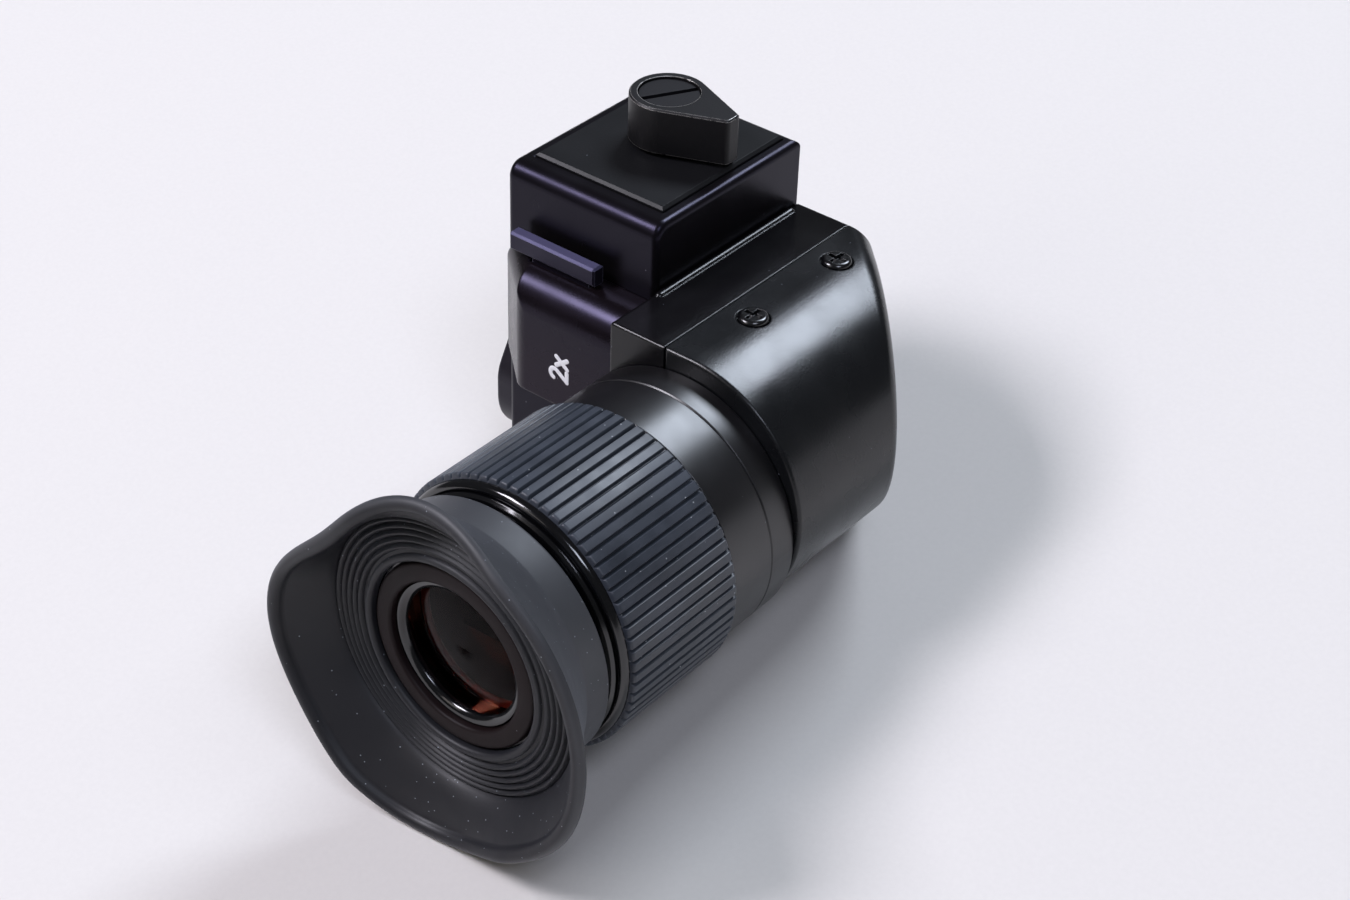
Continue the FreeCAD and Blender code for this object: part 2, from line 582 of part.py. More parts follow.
def hood_outline(inset, y_back, z0, z1):
    """Hood plan, with its slanted camera-side corner, drawn up from z0 to z1."""
    slope = (BLOCK_FRONT - HOOD_FRONT) / HOOD_CHAMFER_X
    lean = inset * (math.sqrt(1 + slope ** 2) - 1) / slope
    x_right = BLOCK_X1 - HOOD_GAP - inset
    front = HOOD_FRONT + inset
    x_turn = BLOCK_X0 + HOOD_CHAMFER_X + lean
    x_back = x_turn - (y_back - front) / slope
    corners = [V(x_back, y_back, z0), V(x_turn, front, z0), V(x_right, front, z0), V(x_right, y_back, z0)]
    return Part.Face(Part.makePolygon(corners + corners[:1])).extrude(V(0, 0, z1 - z0))


def front_hood():
    """Cover over the release slide, with a rounded top edge and a slot for the press bar's pad."""
    back = BLOCK_FRONT - 0.02
    shell = hood_outline(0, back, HOOD_BOTTOM, HOOD_TOP)
    turn_x = BLOCK_X0 + HOOD_CHAMFER_X
    turn = edges_where(shell, lambda c, e: abs(c.x - turn_x) < 0.01 and abs(c.y - HOOD_FRONT) < 0.01)
    shell = shell.makeFillet(HOOD_TURN, turn)
    profile = box(0, BLOCK_X1 + 1, HOOD_FRONT, back, HOOD_BOTTOM, HOOD_TOP)
    top_edge = edges_where(profile, lambda c, e: c.z > HOOD_TOP - 0.01 and abs(c.y - HOOD_FRONT) < 0.01)
    shell = shell.common(profile.makeFillet(HOOD_ROUND, top_edge))
    slanted = box(turn_x - 30, turn_x + 30, HOOD_FRONT, HOOD_FRONT + 30, HOOD_BOTTOM, HOOD_TOP)
    top_edge = edges_where(slanted, lambda c, e: c.z > HOOD_TOP - 0.01 and abs(c.y - HOOD_FRONT) < 0.01)
    slanted = slanted.makeFillet(HOOD_SIDE_ROUND, top_edge)
    lean = math.degrees(math.atan2(BLOCK_FRONT - HOOD_FRONT, HOOD_CHAMFER_X))
    slanted.rotate(V(turn_x, HOOD_FRONT, 0), V(0, 0, 1), -lean)
    shell = shell.common(slanted)
    inner = hood_outline(HOOD_WALL, back + 1, HOOD_BOTTOM + HOOD_WALL, HOOD_TOP - HOOD_WALL)
    inner_edge = edges_where(inner, lambda c, e: c.z > HOOD_TOP - HOOD_WALL - 0.01
                             and abs(c.y - HOOD_FRONT - HOOD_WALL) < 0.01)
    inner = inner.makeFillet(HOOD_ROUND - HOOD_WALL, inner_edge)
    slot = box(PAD_X0 - 0.3, PAD_X0 + PAD_L + 0.3, PAD_FRONT - 0.3, BLOCK_FRONT + 1, HOOD_TOP - 2, HOOD_TOP + 1)
    shell = cut(shell, inner, slot)
    for x, y in hood_boss_spots():
        shell = shell.cut(rod((x, y, HOOD_BOTTOM - 1), (0, 0, 1), SMALL_SHANK_R + EASY, 3))
        shell = shell.cut(rod((x, y, HOOD_BOTTOM - 1), (0, 0, 1), SMALL_HEAD_R + EASY, 1.5))
    return shell


def hood_screws():
    """Two small screws up through the hood's floor."""
    screws = [pan_screw((x, y, HOOD_BOTTOM + 0.5), (0, 0, 1), SMALL_HEAD_R, 0.5, SMALL_SHANK_R, 2.0)
              for x, y in hood_boss_spots()]
    return Part.makeCompound(screws)


def top_plate():
    """Bare raised plate that closes the block and steadies the spindle."""
    z0 = BLOCK_TOP + PLATE_PROUD - PLATE_T
    plate = plate_box(z0, z0 + PLATE_T)
    plate = plate.makeChamfer(0.3, edges_where(plate, lambda c, e: c.z > z0 + PLATE_T - 0.01))
    return plate.cut(rod((PIVOT_X, 0, z0 - 1), (0, 0, 1), SPINDLE_R + RUN, PLATE_T + 2))


def bottom_plate():
    """Plate under the drum with its lower bearing."""
    plate = bottom_plate_box(BODY_BOTTOM, BODY_BOTTOM + BOTTOM_PLATE_T)
    boss_top = -DRUM_HALF_H - 0.3
    boss = rod((PIVOT_X, 0, BODY_BOTTOM), (0, 0, 1), DRUM_PIVOT_R + 2, boss_top - BODY_BOTTOM)
    bearing = rod((PIVOT_X, 0, -DRUM_HALF_H - DRUM_PIVOT_LEN - 0.3), (0, 0, 1), DRUM_PIVOT_R + RUN, 5)
    plate = cut(fuse(plate, boss), bearing)
    for x, y in bottom_screw_spots():
        plate = plate.cut(rod((x, y, BODY_BOTTOM - 1), (0, 0, 1), SMALL_SHANK_R + EASY, 5))
        plate = plate.cut(rod((x, y, BODY_BOTTOM - 1), (0, 0, 1), SMALL_HEAD_R + EASY, 1.8))
    return plate


def bottom_screws():
    """Four sunk screws in the bottom plate."""
    screws = [pan_screw((x, y, BODY_BOTTOM + 0.8), (0, 0, 1), SMALL_HEAD_R, 0.7, SMALL_SHANK_R, 3.8)
              for x, y in bottom_screw_spots()]
    return Part.makeCompound(screws)


# ================================================================ changer drum and lever
def lever_base():
    """Height of the lever's underside."""
    return BLOCK_TOP + PLATE_PROUD + WASHER_T


def changer_drum():
    """Drum with two crossed light paths; the telescope lenses sit in one of them."""
    drum = rod((PIVOT_X, 0, -DRUM_HALF_H), (0, 0, 1), DRUM_R, 2 * DRUM_HALF_H)
    pivot = rod((PIVOT_X, 0, -DRUM_HALF_H - DRUM_PIVOT_LEN), (0, 0, 1), DRUM_PIVOT_R, DRUM_PIVOT_LEN + 1)
    along_x = rod((PIVOT_X - 10, 0, 0), (1, 0, 0), DRUM_BORE_R, 20)
    along_y = rod((PIVOT_X, -10, 0), (0, 1, 0), DRUM_BORE_R, 20)
    socket = rod((PIVOT_X, 0, DRUM_HALF_H - 1.5), (0, 0, 1), SPINDLE_SPIGOT_R + PRESS, 3)
    return cut(fuse(drum, pivot), along_x, along_y, socket)


def drum_spindle():
    """Shaft from the drum to the lever, with a flatted head and a tapped end."""
    base = lever_base()
    spigot = rod((PIVOT_X, 0, DRUM_HALF_H - 1.4), (0, 0, 1), SPINDLE_SPIGOT_R, 2)
    shaft = rod((PIVOT_X, 0, DRUM_HALF_H), (0, 0, 1), SPINDLE_R, base - DRUM_HALF_H)
    head = rod((PIVOT_X, 0, base - 1), (0, 0, 1), SPINDLE_R - 0.5, LEVER_H - LEVER_RECESS_D - 0.2 + 1)
    flats = box(PIVOT_X - 3, PIVOT_X + 3, -1.4, 1.4, base - 1, base + LEVER_H)
    head = head.common(flats)
    tapped = rod((PIVOT_X, 0, base - 1.5), (0, 0, 1), CAP_SHANK_R + PRESS, LEVER_H + 2)
    return fuse(spigot, shaft, head).cut(tapped)


CAP_SHANK_R = 0.9


def detent_disc():
    """Disc on the spindle with a click pit for each lever position."""
    disc = rod((PIVOT_X, 0, DETENT_Z), (0, 0, 1), DETENT_R, DETENT_T)
    disc = disc.cut(rod((PIVOT_X, 0, DETENT_Z), (0, 0, 1), SPINDLE_R + PRESS, DETENT_T))
    for angle in (90, 180):
        spot = math.radians(angle)
        pit_x = PIVOT_X + DETENT_R * math.cos(spot)
        pit_y = DETENT_R * math.sin(spot)
        disc = disc.cut(Part.makeSphere(BALL_R * 0.6, V(pit_x, pit_y, DETENT_Z + DETENT_T / 2)))
    return disc


def detent_ball():
    """Click ball that bears on the disc's edge."""
    return Part.makeSphere(BALL_R, V(PIVOT_X, DETENT_R + BALL_R + RUN, DETENT_Z + DETENT_T / 2))


def detent_spring():
    """Spring behind the click ball."""
    start = DETENT_R + 2 * BALL_R + RUN
    length = BLOCK_REAR - DETENT_PLUG_T - start
    return coil((PIVOT_X, start, DETENT_Z + DETENT_T / 2), (0, 1, 0), BALL_R - 0.1, length, 5)


DETENT_PLUG_T = 1.2


def detent_plug():
    """Slotted grub screw that backs the click spring."""
    y = BLOCK_REAR - DETENT_PLUG_T
    plug = rod((PIVOT_X, y, DETENT_Z + DETENT_T / 2), (0, 1, 0), BALL_R + RUN - PRESS, DETENT_PLUG_T)
    slot = box(PIVOT_X - 2, PIVOT_X + 2, BLOCK_REAR - 0.5, BLOCK_REAR + 1,
               DETENT_Z + DETENT_T / 2 - 0.2, DETENT_Z + DETENT_T / 2 + 0.2)
    return plug.cut(slot)


def tele_front_lens():
    """Positive lens of the 2x telescope."""
    edge = TELE_FRONT_T * 0.5
    return lens((PIVOT_X, -TELE_OFFSET + 0.6, 0), (0, 1, 0), TELE_LENS_R, edge, 0.5, 0.5)


def tele_rear_lens():
    """Negative lens of the 2x telescope."""
    return lens((PIVOT_X, TELE_OFFSET - TELE_REAR_T, 0), (0, 1, 0), TELE_LENS_R, TELE_REAR_T, -0.4, -0.4)


def lever_outline(z0, height, grow=0.0):
    """Teardrop: a round end joined by tangents to a narrow flat tip along +X."""
    r = LEVER_R + grow
    tip_half = LEVER_TIP_W / 2 + grow
    reach = LEVER_REACH + grow
    distance = math.hypot(reach, tip_half)
    angle = math.atan2(tip_half, reach) + math.acos(r / distance)
    ax, ay = r * math.cos(angle), r * math.sin(angle)
    a, b = V(PIVOT_X + ax, ay, z0), V(PIVOT_X + reach, tip_half, z0)
    c, d = V(PIVOT_X + reach, -tip_half, z0), V(PIVOT_X + ax, -ay, z0)
    back = Part.Arc(d, V(PIVOT_X - r, 0, z0), a).toShape()
    wire = Part.Wire([Part.makeLine(a, b), Part.makeLine(b, c), Part.makeLine(c, d), back])
    return Part.Face(wire).extrude(V(0, 0, height))


def mode_lever():
    """Lever that turns the drum between 1x (along +X) and 2x (towards the eyepiece)."""
    base = lever_base()
    lever = lever_outline(base, LEVER_H)
    tip = edges_where(lever, lambda c, e: c.x > PIVOT_X + LEVER_REACH - 0.01 and abs(c.z - base - LEVER_H / 2) < 0.01)
    lever = lever.makeFillet(0.6, tip)
    top = edges_where(lever, lambda c, e: c.z > base + LEVER_H - 0.01)
    lever = lever.makeChamfer(0.2, top)
    recess = rod((PIVOT_X, 0, base + LEVER_H - LEVER_RECESS_D), (0, 0, 1), CAP_R + EASY, 5)
    bore = rod((PIVOT_X, 0, base - 1), (0, 0, 1), SPINDLE_R - 0.5 + RUN, LEVER_H + 2)
    keyed = bore.common(box(PIVOT_X - 3, PIVOT_X + 3, -1.4 - RUN, 1.4 + RUN, base - 1, base + LEVER_H))
    return cut(lever, recess, keyed)


def lever_cap_screw():
    """Large slotted screw sunk in the lever."""
    z = lever_base() + LEVER_H - LEVER_RECESS_D
    head = rod((PIVOT_X, 0, z), (0, 0, 1), CAP_R, CAP_T)
    shank = rod((PIVOT_X, 0, z - 4.5), (0, 0, 1), CAP_SHANK_R, 5)
    slot = box(-CAP_R - 1, CAP_R + 1, -CAP_SLOT_W / 2, CAP_SLOT_W / 2, z + CAP_T - CAP_SLOT_D, z + CAP_T + 1)
    slot.rotate(V(0, 0, 0), V(0, 0, 1), CAP_SLOT_ANGLE)
    slot.translate(V(PIVOT_X, 0, 0))
    return cut(fuse(head, shank), slot)


CAP_SLOT_ANGLE = 61


def lever_washer():
    """Thin washer between plate and lever."""
    ring = rod((PIVOT_X, 0, BLOCK_TOP + PLATE_PROUD), (0, 0, 1), WASHER_R, WASHER_T)
    return ring.cut(rod((PIVOT_X, 0, 0), (0, 0, 1), SPINDLE_R + RUN, 40))


# ================================================================ prism housing and cover
def bulkhead_y():
    """Front face of the bulkhead."""
    return FACE_Y + COVER_WALL + BULKHEAD_GAP


def cover_screw_spots():
    """Cover screw positions with the direction into the thread."""
    spots = []
    for y in COVER_SCREW_Y:
        spots.append(((COVER_SCREW_X, y, BODY_TOP), (0, 0, -1)))
        spots.append(((COVER_SCREW_X, y, BODY_BOTTOM), (0, 0, 1)))
    return spots


def table_screw_spots():
    """Screws that hold the prism table, in front of the prism."""
    return [(EYE_X - PRISM_A + 1.9, -PRISM_A - 2.2), (EYE_X - 1.6, -PRISM_A - 2.2)]


def inner_floor():
    """Upper face of the cover tongue at the bottom of the body."""
    return BODY_BOTTOM + COVER_WALL + EASY + TONGUE_T


def prism_housing():
    """Casting with the left wall, front, rear, top, bottom, cover tongues and the bulkhead."""
    outer = box(BLOCK_X1, SEAM_X, FACE_Y, BODY_REAR, BODY_BOTTOM, BODY_TOP)
    left = edges_where(outer, lambda c, e: c.x < BLOCK_X1 + 0.01 and abs(c.y - (FACE_Y + BODY_REAR) / 2) < 0.01)
    outer = outer.makeFillet(BODY_EDGE_ROUND, left)
    front = edges_where(outer, lambda c, e: abs(c.y - FACE_Y) < 0.01 and c.z > BODY_TOP - 2)
    outer = outer.makeFillet(0.3, front)
    rim_z = BODY_TOP + RIM_PROUD - RIM_R
    rim = rod((BLOCK_X1 + RIM_R + 0.05, BLOCK_FRONT, rim_z), (0, 1, 0), RIM_R, BLOCK_REAR - BLOCK_FRONT - 2)
    for y in (BLOCK_FRONT, BLOCK_REAR - 2):
        rim = fuse(rim, Part.makeSphere(RIM_R, V(BLOCK_X1 + RIM_R + 0.05, y, rim_z)))
    outer = fuse(outer, rim)
    inner = box(BLOCK_X1 + WALL, SEAM_X + 1, FACE_Y + WALL, BODY_REAR - WALL, BODY_BOTTOM + WALL, BODY_TOP - WALL)
    housing = outer.cut(inner)
    reach = box(BLOCK_X1 + WALL, TONGUE_REACH, bulkhead_y() + 0.5, BODY_REAR - 4, -40, 40)
    sleeve = body_block(COVER_WALL + EASY, 0, FACE_Y, BODY_REAR)
    hollow = body_block(COVER_WALL + EASY + TONGUE_T, -1, FACE_Y - 1, BODY_REAR + 1)
    tongues = sleeve.cut(hollow).common(reach).cut(behind_slant(COVER_WALL + EASY))
    y0 = bulkhead_y()
    bulkhead = body_block(COVER_WALL + EASY, BLOCK_X1 + WALL - 0.5, y0, y0 + BULKHEAD_T)
    filler = box(BLOCK_X1 + 0.5, SEAM_X, FACE_Y + 0.5, y0 + 0.5, BODY_BOTTOM + 0.5, BODY_TOP - 0.5)
    housing = fuse(housing, tongues, bulkhead, filler)
    spigot = rod((EYE_X, FACE_Y - 1, 0), (0, 1, 0), SPIGOT_R + RUN, y0 + BULKHEAD_T + 2 - FACE_Y)
    port = rod((BLOCK_X1 - 1, 0, 0), (1, 0, 0), CELL_R + PRESS, WALL + 2)
    housing = cut(housing, spigot, port)
    for point, direction in cover_screw_spots():
        start = V(*point).sub(V(*direction).multiply(1))
        housing = housing.cut(Part.makeCylinder(COVER_SHANK_R + PRESS, 5, start, V(*direction)))
    for y, z in JOINT_SCREW_YZ:
        housing = housing.cut(rod((BLOCK_X1 - 1, y, z), (1, 0, 0), SMALL_SHANK_R + EASY, WALL + 2))
    for x, y in table_screw_spots():
        housing = housing.cut(rod((x, y, inner_floor() - TABLE_THREAD), (0, 0, 1), SMALL_SHANK_R + PRESS, 3))
    clip = rod((CLIP_X, y0 + 0.3, CLIP_SCREW_Z), (0, 1, 0), SMALL_SHANK_R + PRESS, BULKHEAD_T + 1)
    return housing.cut(clip)


CLIP_SCREW_Z = BODY_TOP - 4.85
CLIP_T = 0.5
CLIP_W = 2.2
CLIP_X = EYE_X - PRISM_A + 1.4
CLIP_REACH = 3.0
TABLE_THREAD = 1.3
TABLE_HEAD_Z = 1.3


def prism_cover():
    """Shell with a round side and a 45 degree back."""
    x_left = SEAM_X + SEAM_GAP
    shell = body_block(0, x_left, FACE_Y, BODY_REAR).cut(behind_slant(0))
    y_in = FACE_Y + COVER_WALL
    inner = body_block(COVER_WALL, x_left - 1, y_in, BODY_REAR - COVER_WALL).cut(behind_slant(COVER_WALL))
    front = edges_where(shell, lambda c, e: abs(c.y - FACE_Y) < 0.01 and e.Length > 20)
    shell = shell.makeFillet(0.4, front)
    rim = edges_where(shell, lambda c, e: c.y > FACE_Y + 1 and abs(c.z - BODY_CZ) < 3 and e.Length > 3 * BODY_R)
    shell = shell.makeFillet(COVER_ROUND, rim)
    half = SPIGOT_R + EASY
    cutout = rod((EYE_X, FACE_Y - 1, 0), (0, 1, 0), half, COVER_WALL + 2)
    mouth = box(x_left - 1, EYE_X, FACE_Y - 1, FACE_Y + COVER_WALL + 1, -half, half)
    shell = cut(shell, inner, cutout, mouth)
    for point, direction in cover_screw_spots():
        start = V(*point).sub(V(*direction).multiply(1))
        shell = shell.cut(Part.makeCylinder(COVER_SHANK_R + EASY, 4, start, V(*direction)))
        seat = Part.makeCylinder(COVER_HEAD_R + 0.15, 1.45, start, V(*direction))
        shell = shell.cut(seat)
    return shell


def cover_screws():
    """Cross-head screws, two above and two below."""
    screws = []
    for point, direction in cover_screw_spots():
        seat = V(*point).add(V(*direction).multiply(0.45))
        screws.append(pan_screw(tuple(seat), direction, COVER_HEAD_R, COVER_HEAD_T, COVER_SHANK_R, 2.2))
    return Part.makeCompound(screws)


def joint_screws():
    """Four screws that join the two housings from inside."""
    screws = [pan_screw((BLOCK_X1 + WALL, y, z), (-1, 0, 0), SMALL_HEAD_R, SMALL_HEAD_T, SMALL_SHANK_R,
                        JOINT_SCREW_LEN) for y, z in JOINT_SCREW_YZ]
    return Part.makeCompound(screws)


def objective_cell():
    """Tube that lines up the two housings and holds the objective lens."""
    cell = x_ring(CELL_R, CELL_STOP_R, CELL_X0, CELL_X1)
    bore = rod((CELL_X0 + 1.0, 0, 0), (1, 0, 0), CELL_BORE_R, CELL_X1 - CELL_X0)
    return cell.cut(bore)


def objective_lens():
    """Objective lens against the cell's stop."""
    return lens((CELL_X0 + 1.0, 0, 0), (1, 0, 0), CELL_BORE_R - RUN, OBJECTIVE_T, -0.05, OBJECTIVE_BULGE)


def objective_retainer():
    """Threaded ring behind the objective lens."""
    seat = OBJECTIVE_T + sag(CELL_BORE_R - RUN, OBJECTIVE_BULGE, CELL_STOP_R)
    return x_ring(CELL_BORE_R - PRESS, CELL_STOP_R, CELL_X0 + 1.0 + seat, CELL_X1 - 0.3)


def roof_prism():
    """Right-angle prism whose long face is a roof with its ridge in the plane z = 0."""
    a = PRISM_A
    corners = [V(EYE_X - a, -a, -a), V(EYE_X + a, -a, -a), V(EYE_X - a, a, -a)]
    prism = Part.Face(Part.makePolygon(corners + corners[:1])).extrude(V(0, 0, 2 * a))
    ridge = V(1, 1, 0).normalize()
    side = V(-1, 1, 0).normalize()
    for up in (1, -1):
        wedge = [V(0, 0, 0), V(0, 0, up * 30), V(*ridge).multiply(-30).add(V(0, 0, up * 30))]
        start = V(EYE_X, 0, 0).sub(V(*side).multiply(40))
        corners = [start.add(point) for point in wedge]
        cutter = Part.Face(Part.makePolygon(corners + corners[:1])).extrude(V(*side).multiply(80))
        prism = prism.cut(cutter)
    nose = box(EYE_X + a - 1.4, EYE_X + a + 5, -a - 5, a + 5, -a - 5, a + 5)
    tail = box(EYE_X - a - 5, EYE_X + a, a - 1.4, a + 5, -a - 5, a + 5)
    return cut(prism, nose, tail)


def prism_table():
    """Seat under the prism that stands on the housing's floor."""
    a = PRISM_A
    floor = inner_floor()
    outline = [V(EYE_X - a, -a - 3.8, floor), V(BODY_CX, -a - 3.8, floor), V(BODY_CX, -a + 2.0, floor),
               V(EYE_X - a + 3.0, a - 1.0, floor), V(EYE_X - a, a - 1.0, floor)]
    slab = Part.Face(Part.makePolygon(outline + outline[:1])).extrude(V(0, 0, -a - PRISM_GAP - floor))
    for x, y in table_screw_spots():
        slab = slab.cut(rod((x, y, floor - 1), (0, 0, 1), SMALL_SHANK_R + EASY, 6))
        slab = slab.cut(rod((x, y, floor + TABLE_HEAD_Z), (0, 0, 1), SMALL_HEAD_R + EASY, 6))
    return slab


PRISM_GAP = 0.02


def table_screws():
    """Two screws down through the prism table."""
    length = TABLE_HEAD_Z + TABLE_THREAD - 0.1
    screws = [pan_screw((x, y, inner_floor() + TABLE_HEAD_Z), (0, 0, -1), SMALL_HEAD_R, SMALL_HEAD_T, SMALL_SHANK_R,
                        length) for x, y in table_screw_spots()]
    return Part.makeCompound(screws)


def prism_clip():
    """Spring strap from the bulkhead over the prism's upper corner."""
    y_wall = bulkhead_y() + BULKHEAD_T
    half = CLIP_W / 2
    z = PRISM_A + PRISM_GAP
    tab = box(CLIP_X - 1.5, CLIP_X + 1.5, y_wall, y_wall + CLIP_T, CLIP_SCREW_Z - 2.0, CLIP_SCREW_Z + 1.7)
    neck = box(CLIP_X - half, CLIP_X + half, y_wall, y_wall + CLIP_T, z, CLIP_SCREW_Z)
    strap = box(CLIP_X - half, CLIP_X + half, y_wall, -PRISM_A + CLIP_REACH, z, z + CLIP_T)
    hole = rod((CLIP_X, y_wall - 1, CLIP_SCREW_Z), (0, 1, 0), SMALL_SHANK_R + EASY, CLIP_T + 2)
    return fuse(tab, neck, strap).cut(hole)


def clip_screw():
    """Screw that holds the prism strap."""
    y = bulkhead_y() + BULKHEAD_T + CLIP_T
    return pan_screw((CLIP_X, y, CLIP_SCREW_Z), (0, -1, 0), SMALL_HEAD_R, SMALL_HEAD_T, SMALL_SHANK_R, 2.4)


# ================================================================ barrel
def barrel_seat():
    """Rear ring of the barrel, with the threaded spigot that goes through the body's front."""
    tail_end = bulkhead_y() + BULKHEAD_T + NUT_T + LIFT
    profile = [(SPIGOT_BORE_R, COLLAR_SEAM + TAIL_LEN), (TAIL_R + PRESS, COLLAR_SEAM + TAIL_LEN),
               (TAIL_R + PRESS, COLLAR_SEAM), (COLLAR_R - 0.15, COLLAR_SEAM), (COLLAR_R, COLLAR_SEAM + 0.15),
               (COLLAR_R, FACE_Y - 0.15), (COLLAR_R - 0.15, FACE_Y), (SPIGOT_R, FACE_Y), (SPIGOT_R, tail_end),
               (SPIGOT_BORE_R, tail_end)]
    return turned(profile)


def barrel_nut():
    """Ring nut that clamps the barrel against the body, with four spanner slots."""
    y = bulkhead_y() + BULKHEAD_T
    nut_r = SPIGOT_R + NUT_WALL
    nut = collar(nut_r, SPIGOT_R + PRESS, y, y + NUT_T)
    for angle in (45, 135, 225, 315):
        slot = box(EYE_X + SPIGOT_R - NUT_WALL, EYE_X + nut_r + 1, y + NUT_T * 0.6, y + NUT_T + 1, -0.6, 0.6)
        slot.rotate(V(EYE_X, 0, 0), V(0, 1, 0), angle)
        nut = nut.cut(slot)
    return nut


def barrel_tube():
    """Fixed tube of the eyepiece barrel with the smooth collar and a guide slot for the drive pin."""
    profile = [(TUBE_BORE_R, TUBE_END), (TUBE_R, TUBE_END), (TUBE_R, COLLAR_END), (COLLAR_R - 0.3, COLLAR_END),
               (COLLAR_R, COLLAR_END + 0.3), (COLLAR_R, COLLAR_SEAM - 0.15), (COLLAR_R - 0.15, COLLAR_SEAM),
               (TAIL_R, COLLAR_SEAM), (TAIL_R, COLLAR_SEAM + TAIL_LEN - EASY),
               (EYE_BORE_R, COLLAR_SEAM + TAIL_LEN - EASY), (EYE_BORE_R, COLLAR_END + TUBE_STEP),
               (TUBE_BORE_R, COLLAR_END + TUBE_STEP)]
    tube = turned(profile)
    half = PIN_R + RUN
    reach = TRAVEL + 0.3
    slot = box(EYE_X - half, EYE_X + half, PIN_Y - reach, PIN_Y + reach, 0, COLLAR_R)
    ends = [rod((EYE_X, PIN_Y + side * reach, 0), (0, 0, 1), half, COLLAR_R) for side in (-1, 1)]
    return cut(tube, slot, *ends)


def ring_keeper():
    """Threaded ring on the end of the barrel tube that holds the dioptre ring on."""
    return collar(RETAINER_R, TUBE_R + PRESS, TUBE_END, TUBE_END + RETAINER_T)


def ring_section():
    """Ribbed outline of the dioptre ring in the XZ plane."""
    pitch = 2 * math.pi / RING_RIBS
    root = RING_R - RIB_DEPTH
    points = []
    for rib in range(RING_RIBS):
        middle = rib * pitch
        half_top = pitch * RIB_SHARE / 2
        half_root = half_top + pitch * 0.07
        for angle, radius in ((-half_root, root), (-half_top, RING_R), (half_top, RING_R), (half_root, root)):
            points.append(V(EYE_X + radius * math.cos(middle + angle), 0, radius * math.sin(middle + angle)))
    return Part.Face(Part.makePolygon(points + points[:1]))


def dioptre_ring():
    """Ribbed ring whose inner helical groove drives the eyepiece in and out."""
    length = COLLAR_END - EASY - RING_FRONT
    ring = ring_section().extrude(V(0, length, 0))
    ring.translate(V(0, RING_FRONT, 0))
    bevel = turned([(RING_R - 0.45, RING_FRONT - 1), (RING_R + 2, RING_FRONT - 1), (RING_R + 2, RING_FRONT + 0.5),
                    (RING_R, RING_FRONT + 0.35), (RING_R - 0.45, RING_FRONT)])
    rear = RING_FRONT + length
    back_bevel = turned([(RING_R - 0.3, rear), (RING_R, rear - 0.25), (RING_R + 2, rear - 0.25),
                         (RING_R + 2, rear + 1), (RING_R - 0.3, rear + 1)])
    bore = collar(TUBE_R + RUN, 0, RING_FRONT - 1, rear + 1)
    wide = collar(SKIRT_R + RUN, 0, RING_FRONT - 1, RING_STEP)
    ring = cut(ring, bevel, back_bevel, bore, wide)
    return ring.cut(helix_groove())


def helix_groove():
    """Groove that carries the drive pin through the ring's turn, with room at both ends."""
    half_turns = (RING_TURN + 12) / 360
    pitch = TRAVEL * 360 / RING_TURN
    height = 2 * half_turns * pitch
    radius = TUBE_R + RUN
    depth = PIN_DEPTH + 0.1
    helix = Part.makeHelix(pitch, height, radius)
    half = PIN_R + RUN
    corners = [V(radius - 0.6, 0, -half), V(radius + depth, 0, -half), V(radius + depth, 0, half),
               V(radius - 0.6, 0, half)]
    section = Part.makePolygon(corners + corners[:1])
    groove = Part.Wire(helix).makePipeShell([section], True, True)
    groove.translate(V(0, 0, -height / 2))
    # the helix starts on +X about +Z: turn it so that its middle is at the pin, with its axis along -Y
    groove.rotate(V(0, 0, 0), V(0, 0, 1), 90 - half_turns * 360)
    groove.rotate(V(0, 0, 0), V(1, 0, 0), 90)
    groove.translate(V(EYE_X, PIN_Y, 0))
    return groove


def drive_pin():
    """Pin in the eyepiece tube, through the guide slot, into the ring's groove."""
    foot = TUBE_BORE_R - RUN - 1.2
    return rod((EYE_X, PIN_Y, foot), (0, 0, 1), PIN_R, TUBE_R + RUN + PIN_DEPTH - foot)


# ================================================================ eyepiece
def eyepiece_tube():
    """Sliding tube with the lens bore, the glossy skirt and the eyecup seat."""
    web = SHOULDER + SHOULDER_T
    slide_r = TUBE_BORE_R - RUN
    front = EYE_FRONT + KEEPER_PROUD
    profile = [(KEEPER_R + PRESS, front), (CUP_SEAT_R - 0.3, front), (CUP_SEAT_R, front + 0.3),
               (CUP_SEAT_R, BEAD_Y - BEAD_W / 2), (CUP_SEAT_R - BEAD_D, BEAD_Y - BEAD_W / 2),
               (CUP_SEAT_R - BEAD_D, BEAD_Y + BEAD_W / 2), (CUP_SEAT_R, BEAD_Y + BEAD_W / 2),
               (CUP_SEAT_R, SHOULDER), (SKIRT_R - 0.3, SHOULDER), (SKIRT_R, SHOULDER + 0.3), (SKIRT_R, SKIRT_END),
               (SKIRT_R - SKIRT_T, SKIRT_END), (SKIRT_R - SKIRT_T, web), (slide_r, web), (slide_r, EYE_REAR),
               (EYE_STOP_R, EYE_REAR), (EYE_STOP_R, EYE_STOP_Y), (EYE_BORE_R, EYE_STOP_Y),
               (EYE_BORE_R, EYE_FRONT + KEEPER_T), (KEEPER_R + PRESS, EYE_FRONT + KEEPER_T)]
    tube = turned(profile)
    return tube.cut(rod((EYE_X, PIN_Y, 0), (0, 0, 1), PIN_R + PRESS, COLLAR_R))


def lens_stack():
    """Front rims of inner lens, spacer and eye lens along the bore."""
    inner = EYE_STOP_Y - INNER_LENS_T
    eye = EYE_FRONT + EYE_LENS_INSET
    return inner, eye + EYE_LENS_T, eye


